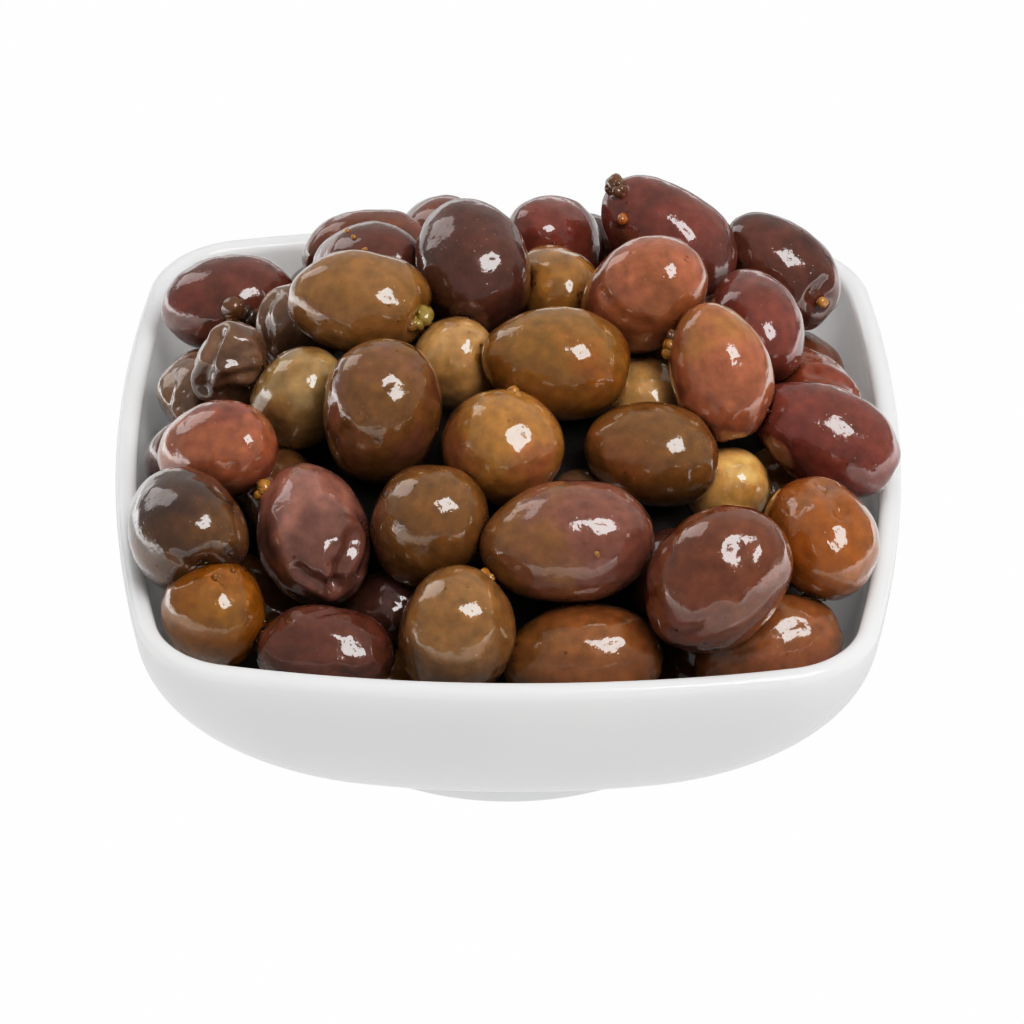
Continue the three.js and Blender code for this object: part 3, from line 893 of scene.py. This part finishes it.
# %% One olive's skin
PATCHES = ((0.55, 14), (0.25, 5))  # strength and length in mm of the patches
AT_END = 0.9  # how strongly the second colour gathers at an end
PATCH_FADE = (-0.35, 0.75)  # where it starts to show, and where it shows most
HELD_BACK = {True: 0.17, False: 0.05}  # by how much, where it has an end and where not
SECOND_MOST = 0.7
STREAKS = (0.08, 2.6)
STREAK_DRAWN = np.array([0.3, 1, 1])
SPECKLE = (0.07, 2.2)
NAME_TIMES = 7  # turns an olive's name into a seed of its own


def skin_colours(olive, points, rng):
    """Linear colours over the skin: two skin colours, mixed in soft patches."""
    main, second = linear(SKINS[olive["skin"]]), linear(SKINS[olive["second"]])
    along = olive["end"] * points[..., 0] / olive["half"][0]
    patches = sum(strength * waves(points, length, rng) for strength, length in PATCHES)
    there = patches + AT_END * along - HELD_BACK[olive["end"] != 0]
    share = SECOND_MOST * smooth_step(*PATCH_FADE, there)
    streaks = STREAKS[0] * waves(points * STREAK_DRAWN, STREAKS[1], rng)
    speckle = SPECKLE[0] * waves(points, SPECKLE[1], rng)
    return mix(main, second, share[..., None]) * (1 + speckle + streaks)[..., None]


def olive_surface(olive, others, rows, columns):
    """An olive's points in millimetres and its colours, as lists with two poles.

    The egg is a ball times the half-sizes, and fuller towards one end. Its outward
    direction at a point is each coordinate over that half-size squared.
    """
    rng = np.random.default_rng(sum(map(ord, olive["name"])) * NAME_TIMES + len(olive["name"]))
    ball = ball_grid(rows, columns)
    egg = ball * olive["half"]
    egg[..., 1:] *= 1 + TAPER * ball[..., :1]
    moved = egg + unit(egg / olive["half"] ** 2) * relief(olive, egg, rng)[..., None]
    world = press(moved @ olive["frame"] + olive["centre"], olive, others)
    return with_poles(world), with_poles(skin_colours(olive, egg, rng))


# %% [markdown]
# ## Olive skin
# The skin of a ripe olive in oil is smooth, thin and waxy, and the oil on it fills its
# pores. So there are two layers of gloss: a soft one from the skin and, over it, the
# sharp one of the oil film. Light goes a little way into the flesh, which warms the
# edges of shadows. Tiny pale pores dot the skin, and the film ripples.

# %% Olive skin material
MOTTLE_MM = 3.0  # size of the darker and lighter spots
MOTTLE_SPAN = (0.3, 0.7)  # the noise between these gives the tones between the next
MOTTLE_TONES = (0.78, 1.22)
PORE_MM = 1.5  # spacing of the pale pores
PORE_RADIUS = (0.16, 0.06)  # where one starts and where it is palest, in its spacing
PORE_MOST = 0.35
PORE_DEEP = 0.06
PORE_PALE = "#b08a5c"
PORE_PATCH_MM = 7.0  # the pores show in patches of this size
PORE_PATCH_SPAN = (0.5, 0.65)
GRAIN_MM = 0.8  # of the skin's own fine grain
GRAIN_DEEP = 0.018
FILM_MM = 2.4  # length of the ripples in the oil film
FILM_DEEP = 0.6
FILM_ROUGH = 0.02
FILM_IOR = 1.6
SKIN_IOR = 1.42
FLESH_CLEAR = 0.2  # share of the light that goes into the flesh
FLESH_REACH_MM = 1.2  # and how far the red in it goes
FLESH_TINT = (1.0, 0.45, 0.25)  # how far the red, green and blue go, as shares of that


def oiled_olive_skin(name, rough, ripple, oil=1.0):
    """Mottled skin colour from the attribute, pores, a soft gloss and a sharp oil film."""
    material, tree = new_material(name)
    place = add_node(tree, "ShaderNodeTexCoord").outputs["Object"]
    skin = add_node(tree, "ShaderNodeVertexColor", layer_name="skin").outputs["Color"]
    mottle = add_node(tree, "ShaderNodeTexNoise", {
        "Vector": place, "Scale": 1 / (MOTTLE_MM * MM), "Detail": 4.0, "Roughness": 0.6,
    }).outputs["Fac"]
    tone = add_node(tree, "ShaderNodeMapRange", {
        "Value": mottle, "From Min": MOTTLE_SPAN[0], "From Max": MOTTLE_SPAN[1],
        "To Min": MOTTLE_TONES[0], "To Max": MOTTLE_TONES[1],
    }).outputs["Result"]
    toned = add_node(tree, "ShaderNodeVectorMath", {0: skin, 3: tone}, operation="SCALE").outputs[0]
    pores = add_node(tree, "ShaderNodeTexVoronoi", {
        "Vector": place, "Scale": 1 / (PORE_MM * MM),
    }).outputs["Distance"]
    pore = add_node(tree, "ShaderNodeMapRange", {
        "Value": pores, "From Min": PORE_RADIUS[0], "From Max": PORE_RADIUS[1], "To Max": PORE_MOST,
    }).outputs["Result"]
    patch = add_node(tree, "ShaderNodeTexNoise", {
        "Vector": place, "Scale": 1 / (PORE_PATCH_MM * MM), "Detail": 1.0,
    }).outputs["Fac"]
    here = add_node(tree, "ShaderNodeMapRange", {
        "Value": patch, "From Min": PORE_PATCH_SPAN[0], "From Max": PORE_PATCH_SPAN[1],
    }).outputs["Result"]
    share = add_node(tree, "ShaderNodeMath", {0: pore, 1: here}, operation="MULTIPLY").outputs[0]
    colour = add_node(tree, "ShaderNodeMix", {
        0: share, 6: toned, 7: rgba(PORE_PALE),
    }, data_type="RGBA").outputs[2]
    film = add_node(tree, "ShaderNodeTexNoise", {
        "Vector": place, "Scale": 1 / (FILM_MM * MM), "Detail": 2.0, "Roughness": 0.5,
    }).outputs["Fac"]
    grain = add_node(tree, "ShaderNodeTexNoise", {
        "Vector": place, "Scale": 1 / (GRAIN_MM * MM), "Detail": 2.0, "Roughness": 0.6,
    }).outputs["Fac"]
    bump = None
    for height, strength, deep in ((grain, 1, GRAIN_DEEP), (pore, 1, PORE_DEEP),
                                   (film, ripple, FILM_DEEP)):
        under = {"Normal": bump} if bump else {}
        bump = add_node(tree, "ShaderNodeBump", {
            "Height": height, "Strength": strength, "Distance": deep * MM, **under,
        }).outputs["Normal"]
    end_in(tree, "ShaderNodeBsdfPrincipled", {
        "Base Color": colour, "Roughness": rough, "IOR": SKIN_IOR, "Normal": bump,
        "Coat Weight": oil, "Coat Roughness": FILM_ROUGH, "Coat IOR": FILM_IOR,
        "Coat Normal": bump, "Subsurface Weight": FLESH_CLEAR, "Subsurface Radius": FLESH_TINT,
        "Subsurface Scale": FLESH_REACH_MM * MM,
    })
    return material


# %% [markdown]
# Sixty seven olives as objects of their own would be slow to handle, so they are joined
# by kind: ripe ones, ones that still turn, wrinkled ones, and those under them, which
# hardly show and have fewer faces. The kinds differ in how rough the skin is and how
# deep the oil ripples on it.

# %% The olives as pieces
SHOWN_GRID = (58, 88)
FILL_GRID = (30, 48)
WRINKLED_FROM = 0.3  # the least that an olive of the wrinkled kind is shrivelled
TURNING = ("amber", "tan", "umber", "moss", "ochre", "straw", "russet", "chestnut", "sage", "gold")


def join_balls(name, balls_made, grid, material, colours=None):
    """One mesh from many closed grids of one size: each one's faces count on from the last."""
    quads, triangles = closed_grid_faces(*grid)
    starts = np.arange(len(balls_made))[:, None, None] * len(balls_made[0])
    return add_piece(
        name, np.concatenate(balls_made), (quads[None] + starts).reshape(-1, 4),
        (triangles[None] + starts).reshape(-1, 3), material, colours,
    )


everyone = shown + fillers
surfaces = {o["name"]: olive_surface(o, everyone, *SHOWN_GRID) for o in shown}
surfaces.update({o["name"]: olive_surface(o, everyone, *FILL_GRID) for o in fillers})
wrinkled = [o for o in shown if SHRIVELLED.get(o["name"], 0) >= WRINKLED_FROM]
smooth = [o for o in shown if o not in wrinkled]
turning = [o for o in smooth if o["skin"] in TURNING]
ripe = [o for o in smooth if o["skin"] not in TURNING]
KINDS = {  # its olives, their grid, how rough the skin is and how deep the oil ripples
    "ripe": (ripe, SHOWN_GRID, 0.15, 0.16),
    "turning": (turning, SHOWN_GRID, 0.16, 0.18),
    "wrinkled": (wrinkled, SHOWN_GRID, 0.16, 0.2),
    "buried": (fillers, FILL_GRID, 0.18, 0.16),
}
for kind, (olives, grid, rough, ripple) in KINDS.items():
    made = [surfaces[olive["name"]] for olive in olives]
    join_balls(f"olives_{kind}", [points for points, _ in made], grid,
               oiled_olive_skin(f"olive_skin_{kind}", rough, ripple),
               np.concatenate([skin for _, skin in made]))
    print(len(olives), kind)

# %% [markdown]
# ## Stems, crumbs and drops
# Bits of stem and crumbs of flesh cling to the olives. Each bit is a few lumpy balls
# that overlap, with smaller crumbs on them, because a single ball would look like a
# bead.

# %% Stems and crumbs
SCRAPS = [  # the olive it sticks to, the pixel where it shows, its radius in mm, its colour
    ("crown_1", (423, 317), 1.7, "pith"), ("crown_1", (416, 323), 1.5, "pith"),
    ("crown_1", (410, 326), 1.1, "moss"), ("crown_1", (427, 310), 0.8, "resin"),
    ("back_0", (235, 308), 2.1, "bark"), ("back_0", (233, 316), 1.7, "bark"),
    ("back_0", (244, 316), 1.9, "cocoa"), ("back_0", (253, 317), 1.7, "cocoa"),
    ("back_0", (260, 311), 1.3, "bark"), ("back_0", (267, 304), 0.9, "bark"),
    ("back_0", (274, 299), 0.7, "bark"), ("fourth_5", (664, 341), 1.5, "resin"),
    ("fourth_5", (659, 349), 1.1, "resin"), ("fourth_5", (669, 334), 1.0, "bark"),
    ("third_4", (513, 392), 0.9, "resin"), ("third_4", (517, 396), 0.7, "resin"),
    ("front_2", (484, 573), 1.1, "resin"), ("front_2", (490, 578), 0.8, "resin"),
    ("back_6", (614, 187), 1.9, "bark"), ("back_6", (619, 192), 1.4, "bark"),
    ("back_6", (622, 220), 1.0, "rosin"), ("back_2", (347, 231), 0.5, "resin"),
    ("back_2", (354, 237), 0.4, "resin"), ("back_2", (365, 250), 0.5, "resin"),
    ("back_2", (368, 262), 0.4, "resin"), ("second_3", (597, 554), 0.6, "resin"),
    ("second_1", (255, 489), 1.3, "resin"), ("second_1", (262, 485), 1.4, "resin"),
    ("second_1", (268, 481), 1.0, "bark"), ("back_7", (822, 302), 0.9, "resin"),
]
SCRAP_SKINS = {**SKINS, "pith": "#97803c", "resin": "#a8742c", "bark": "#6b4729", "rosin": "#a8642c"}
SCRAP_GRID = (12, 18)
SCRAP_LUMPS = ((0.32, 2.8), (0.08, 0.9))  # height and length of its waves, in its radius
SCRAP_ROUGH = 0.3
SCRAP_RIPPLE = 0.1
SCRAP_SEED = 8
CRUMBS = 4  # smaller lumps on each
CRUMB_SHARE = (0.35, 0.65)  # of its radius
CRUMB_AWAY = 0.6  # from its centre


def lumpy_ball(centre, radius, rng):
    """A ball whose radius is 1 + slow waves + fine waves, times its size."""
    ball = radius * ball_grid(*SCRAP_GRID)
    lumps = sum(height * waves(ball, length * radius, rng) for height, length in SCRAP_LUMPS)
    return with_poles(centre + ball * (1 + lumps)[..., None])


def scrap(olive, pixel, radius, rng):
    """A lump where the sight line meets the olive, and crumbs on it in random places."""
    centre = spot_on(olive, pixel) @ olive["frame"] + olive["centre"]
    made = [lumpy_ball(centre, radius, rng)]
    for _ in range(CRUMBS):
        away = CRUMB_AWAY * radius * unit(rng.normal(size=3))
        made.append(lumpy_ball(centre + away, radius * rng.uniform(*CRUMB_SHARE), rng))
    return made


by_name = {o["name"]: o for o in everyone}
scrap_rng = np.random.default_rng(SCRAP_SEED)
scraps = [ball for olive_name, pixel, size, _ in SCRAPS
          for ball in scrap(by_name[olive_name], pixel, size, scrap_rng)]
scrap_skins = np.array([linear(SCRAP_SKINS[skin]) for *_, skin in SCRAPS])
scrap_colours = np.repeat(scrap_skins, len(scraps[0]) * (1 + CRUMBS), axis=0)
join_balls("stem_bits", scraps, SCRAP_GRID,
           oiled_olive_skin("stem_and_pulp_oiled", SCRAP_ROUGH, SCRAP_RIPPLE), scrap_colours)

# %% [markdown]
# The oil that the olives lie in stands in small drops where two of them touch, and a
# few specks of it lie on their open skin. The drops are flattened balls set into the
# skin, spread by chance over the places where a neighbour is less than a millimetre
# away. A fluid simulation would find the same places, at a far higher cost.

# %% Oil drops
OIL_GOLD = "#f6dc9a"
OIL_IOR = 1.47
DROP_GRID = (5, 8)
DROP_GAP = (0.1, 0.9)  # how near the neighbour's skin is, in mm
DROP_RADIUS = (0.25, 0.72)
DROP_FLAT = 0.55
DROPS_A_PAIR = 5
DROP_REACH = 30.0  # how far off a neighbour's centre may be, in mm
DROP_SEED = 21
OPEN_SIDE = 0.1  # how far out of the olive's middle its open side starts, in its girth
SPECKS = 5  # on the open side of each olive
SPECK_RADIUS = (0.12, 0.28)


def gap_to(points, other):
    """Distance from points to a neighbour's skin, near enough for small gaps."""
    local = seen_from(other, points)
    far = np.linalg.norm(local / other["half"], axis=-1)
    return (far - 1) / far * np.linalg.norm(local, axis=-1)


def drop_on(olive, point, radius):
    """A flattened ball with its short axis along the skin's outward direction."""
    out = unit(seen_from(olive, point) / olive["half"] ** 2 @ olive["frame"])
    side = unit(np.cross(out, olive["frame"][0] + olive["frame"][1]))
    turned = np.stack([out * DROP_FLAT, side, np.cross(out, side)])
    return with_poles(point + radius * ball_grid(*DROP_GRID) @ turned)


def olive_oil():
    """Clear, pale gold oil, smooth as water, that bends light as much as thin glass."""
    material, tree = new_material("olive_oil")
    end_in(tree, "ShaderNodeBsdfPrincipled", {
        "Base Color": rgba(OIL_GOLD), "Roughness": 0.0, "IOR": OIL_IOR, "Transmission Weight": 1.0,
    })
    return material


drop_rng = np.random.default_rng(DROP_SEED)
drops = []
for olive in shown:
    points = surfaces[olive["name"]][0]
    open_side = (points - olive["centre"]) @ out_of_face > OPEN_SIDE * olive["girth"]
    for other in everyone:
        if other is olive or np.linalg.norm(olive["centre"] - other["centre"]) > DROP_REACH:
            continue
        gap = gap_to(points, other)
        near = np.flatnonzero(open_side & (gap > DROP_GAP[0]) & (gap < DROP_GAP[1]))
        for i in drop_rng.choice(near, min(DROPS_A_PAIR, len(near)), replace=False):
            drops.append(drop_on(olive, points[i], mix(*DROP_RADIUS, drop_rng.random())))
    for i in drop_rng.choice(np.flatnonzero(open_side), SPECKS, replace=False):
        drops.append(drop_on(olive, points[i], mix(*SPECK_RADIUS, drop_rng.random())))
print(len(drops), "drops")
join_balls("oil_drops", drops, DROP_GRID, olive_oil())

# %% [markdown]
# ## The core of the heap
# Under the olives that show lie more of them, in shade. One dark, glossy, lumpy core
# stands for those: it fills the dish to just below the olives, so that no gap looks
# through to the white floor of the dish. Its near-black colour is painted shade, far
# darker than an olive's skin, so that the gaps read as the dark of the heap.

# %% Core
CORE_COLUMNS = 128
CORE_WALL_ROWS = 16
CORE_DOME_ROWS = 40
CORE_LUMPS = (0.8, 9)  # height and length in mm
CORE_SMOOTH = (1, 0.85)  # the lumps grow between these shares of the way out
CORE_SEED = 3
# painted shade: near black, darker than any skin, for the olives in the dark of the heap
CORE_PAINTED_SHADE = "#140e09"
CORE_ROUGH = 0.6
CORE_RIPPLE = 0.3


def core_surface():
    """The core: up along the wall with a gap, then over a dome, as one closed grid."""
    edge_z = HEIGHT - CORE_EDGE_DEPTH
    edge = math.acos(((WALL_TOP - edge_z) / (WALL_TOP - FLOOR_Z)) ** (1 / RISE))
    u = np.linspace(0, edge, CORE_WALL_ROWS)[:, None]
    quarters = 4 * np.arange(CORE_COLUMNS)[None, :] / CORE_COLUMNS - 1
    shape = outline(outer_size(u), inside_inset(u) + GAP, False)
    x, y = outline_points(shape, quarters)
    wall = np.stack([x, y, wall_z(u, FLOOR_Z) + GAP * np.cos(u) + 0 * x], -1)
    share = np.linspace(1, 0, CORE_DOME_ROWS + 1)[1:, None]
    dome_x, dome_y = share * x[-1:], share * y[-1:]
    dome = np.stack([dome_x, dome_y, core_top(share, dome_x, dome_y)], -1)
    lumps = CORE_LUMPS[0] * waves(dome, CORE_LUMPS[1], np.random.default_rng(CORE_SEED))
    dome[..., 2] += lumps * smooth_step(*CORE_SMOOTH, share)
    floor = np.concatenate([0 * wall[:1, :, :2], wall[:1, :, 2:]], -1)
    return np.concatenate([floor, wall, dome])


core_grid = core_surface()
core_quads, core_triangles = closed_grid_faces(len(core_grid) - 2, CORE_COLUMNS)
core_points = with_poles(core_grid)
core_shade_colours = np.tile(linear(CORE_PAINTED_SHADE), (len(core_points), 1))
core = add_piece("olives_core", core_points, core_quads, core_triangles,
                 oiled_olive_skin("olive_skin_core", CORE_ROUGH, CORE_RIPPLE, oil=0.0),
                 core_shade_colours)
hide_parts("olives")

# %% [markdown]
# ## Floor
# The dish stands on a white sheet. It gives its own light, so that its white is even and
# takes no shadow. A plain white floor would need so much light that the dish would burn
# out. Only the camera sees the even white. Rays that light the dish find the sheet dimmer
# near it and brighter further out, most of all to the back left, and they find its ends
# in front and at either side. Its reflection makes the pale crescents along the olives'
# edges, and where it ends they end too.

# %% Floor
FLOOR_REACH = 6000.0
WHITE = 0.986  # that the camera sees
PAPER_GLOW = 0.66  # that the dish gets from the sheet near it
BACK_LEFT = (-0.8, 0.6, 0.0)
OFF_SHEET = 0.3
floor_mesh = bpy.data.meshes.new("floor")
floor_mesh.from_pydata(
    [(x * FLOOR_REACH * MM, y * FLOOR_REACH * MM, 0) for x, y in ((-1, -1), (1, -1), (1, 1), (-1, 1))],
    [], [(0, 1, 2, 3)],
)
floor = bpy.data.objects.new("floor", floor_mesh)
bpy.context.scene.collection.objects.link(floor)
paper, paper_tree = new_material("white_paper")
floor_place = add_node(paper_tree, "ShaderNodeTexCoord").outputs["Object"]
level = add_node(paper_tree, "ShaderNodeVectorMath", {0: floor_place, 1: (1, 1, 0)},
                 operation="MULTIPLY").outputs[0]
away = add_node(paper_tree, "ShaderNodeVectorMath", {0: level}, operation="LENGTH").outputs["Value"]
floor_xyz = add_node(paper_tree, "ShaderNodeSeparateXYZ", {0: floor_place})
to_right, to_back = floor_xyz.outputs["X"], floor_xyz.outputs["Y"]
to_back_left = add_node(paper_tree, "ShaderNodeVectorMath", {0: floor_place, 1: BACK_LEFT},
                        operation="DOT_PRODUCT").outputs["Value"]
GLOW_CHANGES = (  # along what, from and to how many mm from the middle, and times what
    # dimmer within 120 mm of the middle: painted shadow of the dish in the light that the sheet gives
    # it
    (away, 120, 300, 1.5),
    (to_right, -90, -170, 1.15),
    (to_back_left, 200, 280, 2.5),
    (to_right, 140, 250, 1.8),
    (to_back, 130, 260, 0.3),
    (to_right, -600, -640, OFF_SHEET),
    (to_right, 420, 428, OFF_SHEET),
    (to_back, -340, -348, OFF_SHEET),
)
glow = PAPER_GLOW
for along, start, end, times in GLOW_CHANGES:
    factor = add_node(paper_tree, "ShaderNodeMapRange", {
        "Value": along, "From Min": start * MM, "From Max": end * MM, "To Min": 1, "To Max": times,
    }).outputs["Result"]
    glow = add_node(paper_tree, "ShaderNodeMath", {0: glow, 1: factor}, operation="MULTIPLY").outputs[0]
by_camera = add_node(paper_tree, "ShaderNodeLightPath").outputs["Is Camera Ray"]
shown_glow = add_node(paper_tree, "ShaderNodeMix", {0: by_camera, 2: glow, 3: WHITE}).outputs[0]
end_in(paper_tree, "ShaderNodeEmission", {"Strength": shown_glow})
floor_mesh.materials.append(paper)
print("a white sheet with", len(GLOW_CHANGES), "changes of its glow")

# %% [markdown]
# ## Lamps and surroundings
# A square lamp above and to the right gives each olive its small hard highlight, with a
# dark dot in it from the lamp's own hub. A tall white panel at the back left gives a pale
# patch on the other shoulder, and shows in the gloss alone. A wide soft lamp overhead does
# the opposite: it lifts the shade but isn't seen in the oil. The room around is dim, so
# the oil looks dark and deep between these. One big bright sky would be simpler, but it
# would spread its gloss over every olive like milk.

# %% Lamps
LAMPS = {  # the direction it lies in, how many mm away, its width and height, its watts
    "key_lamp": ((0.37, -0.41, 0.83), 1000, 520, 520, 4.7),
    "white_panel": ((-0.65, 0.62, 0.4), 1000, 420, 620, 0.9),
    "soft_fill": ((0.15, 0.1, 0.97), 1500, 1400, 1400, 6.6),
}
HUB_RADIUS = 45.0
HUB_BEFORE = 30.0  # how far it stands before the lamp
HUB_GRID = (12, 24)
HUB_BLACK = "#1a1a1a"


def add_lamp(name, towards, away, width, height, watts):
    """A flat lamp that looks at the middle of the heap from a direction."""
    direction = Vector(towards).normalized()
    light = bpy.data.lights.new(name, "AREA")
    light.shape = "RECTANGLE"
    light.size = width * MM
    light.size_y = height * MM
    light.energy = watts
    lamp = bpy.data.objects.new(name, light)
    lamp.location = Vector(face_centre * MM) + direction * away * MM
    lamp.rotation_euler = direction.to_track_quat("Z", "Y").to_euler()
    bpy.context.scene.collection.objects.link(lamp)
    lamp.visible_camera = False
    return lamp


lamps = {name: add_lamp(name, *sizes) for name, sizes in LAMPS.items()}
lamps["white_panel"].visible_diffuse = False
lamps["soft_fill"].visible_glossy = False
key_towards, key_away = LAMPS["key_lamp"][:2]
hub_at = face_centre + unit(np.array(key_towards)) * (key_away - HUB_BEFORE)
hub_points = with_poles(hub_at + HUB_RADIUS * ball_grid(*HUB_GRID))
hub_quads, hub_triangles = closed_grid_faces(*HUB_GRID)
hub_mesh = bpy.data.meshes.new("lamp_hub")
hub_mesh.from_pydata((hub_points * MM).tolist(), [], hub_quads.tolist() + hub_triangles.tolist())
hub = bpy.data.objects.new("lamp_hub", hub_mesh)
bpy.context.scene.collection.objects.link(hub)
hub.visible_camera = False
hub_paint, hub_tree = new_material("black_paint")
end_in(hub_tree, "ShaderNodeBsdfPrincipled", {"Base Color": rgba(HUB_BLACK)})
hub_mesh.materials.append(hub_paint)
print("lamps:", ", ".join(lamps))

# %% [markdown]
# Whatever looks past the sheet finds the room. It is dim, a little brighter at the back,
# and a touch brighter at the horizon, where the backdrop stands. Only the camera sees it
# as white as the sheet. A picture of a real studio wrapped round the scene would light
# the dish too, but it would show in the oil as windows and walls.

# %% The room
BACKDROP = 0.36  # brightness at the horizon
BACKDROP_HIGH = 3.0  # degrees over the horizon where the room takes over
ROOM = (0.28, 0.36)  # brightness of the room: its dim side and its bright side
ROOM_TURN = (-0.1, 0.9)  # how far a ray turns to the bright side, from one to the other
BRIGHT_SIDE = np.array([0.1, 0.7, 0.6])
world = bpy.data.worlds.new("studio")
world.use_nodes = True
sky = world.node_tree
sky.nodes.clear()
ray = add_node(sky, "ShaderNodeTexCoord").outputs["Generated"]
ray_up = add_node(sky, "ShaderNodeSeparateXYZ", {0: ray}).outputs["Z"]
turned = add_node(sky, "ShaderNodeVectorMath", {0: ray, 1: tuple(unit(BRIGHT_SIDE))},
                  operation="DOT_PRODUCT").outputs["Value"]
room = add_node(sky, "ShaderNodeMapRange", {
    "Value": turned, "From Min": ROOM_TURN[0], "From Max": ROOM_TURN[1],
    "To Min": ROOM[0], "To Max": ROOM[1],
}).outputs["Result"]
studio = add_node(sky, "ShaderNodeMapRange", {
    "Value": ray_up, "From Min": 0, "From Max": math.sin(math.radians(BACKDROP_HIGH)),
    "To Min": BACKDROP, "To Max": room,
}).outputs["Result"]
seen = add_node(sky, "ShaderNodeLightPath").outputs["Is Camera Ray"]
bright = add_node(sky, "ShaderNodeMix", {0: seen, 2: studio, 3: WHITE}).outputs[0]
shade = add_node(sky, "ShaderNodeBackground", {"Color": (1, 1, 1, 1), "Strength": bright})
add_node(sky, "ShaderNodeOutputWorld", {"Surface": shade.outputs[0]})
bpy.context.scene.world = world
bpy.context.scene.view_settings.view_transform = "Standard"
print("room", ROOM, "and backdrop", BACKDROP)

# %% [markdown]
# ## Film response
# A camera doesn't answer to light evenly: it holds the shadows down and lifts the light
# tones. A curve does the same here. It works on tones as the eye sees them, so a
# gamma step goes before it and is undone after it. Changing the lamps instead would
# change the highlights as well.

# %% Film response
FILM_GAMMA = 2.2
FILM_CURVE = ((0.2, 0.165), (0.45, 0.46), (0.75, 0.83))  # tone in, tone out
COMBINED = 3  # the curve that works on all three colours
bpy.context.scene.use_nodes = True
film = bpy.context.scene.node_tree
film.nodes.clear()
image = add_node(film, "CompositorNodeRLayers").outputs["Image"]
eye = add_node(film, "CompositorNodeGamma", {"Image": image, "Gamma": 1 / FILM_GAMMA}).outputs[0]
response = add_node(film, "CompositorNodeCurveRGB", {"Image": eye})
for tone_in, tone_out in FILM_CURVE:
    response.mapping.curves[COMBINED].points.new(tone_in, tone_out)
response.mapping.update()
back = add_node(film, "CompositorNodeGamma", {"Image": response.outputs[0], "Gamma": FILM_GAMMA})
add_node(film, "CompositorNodeComposite", {"Image": back.outputs[0]})
print("film curve through", FILM_CURVE)
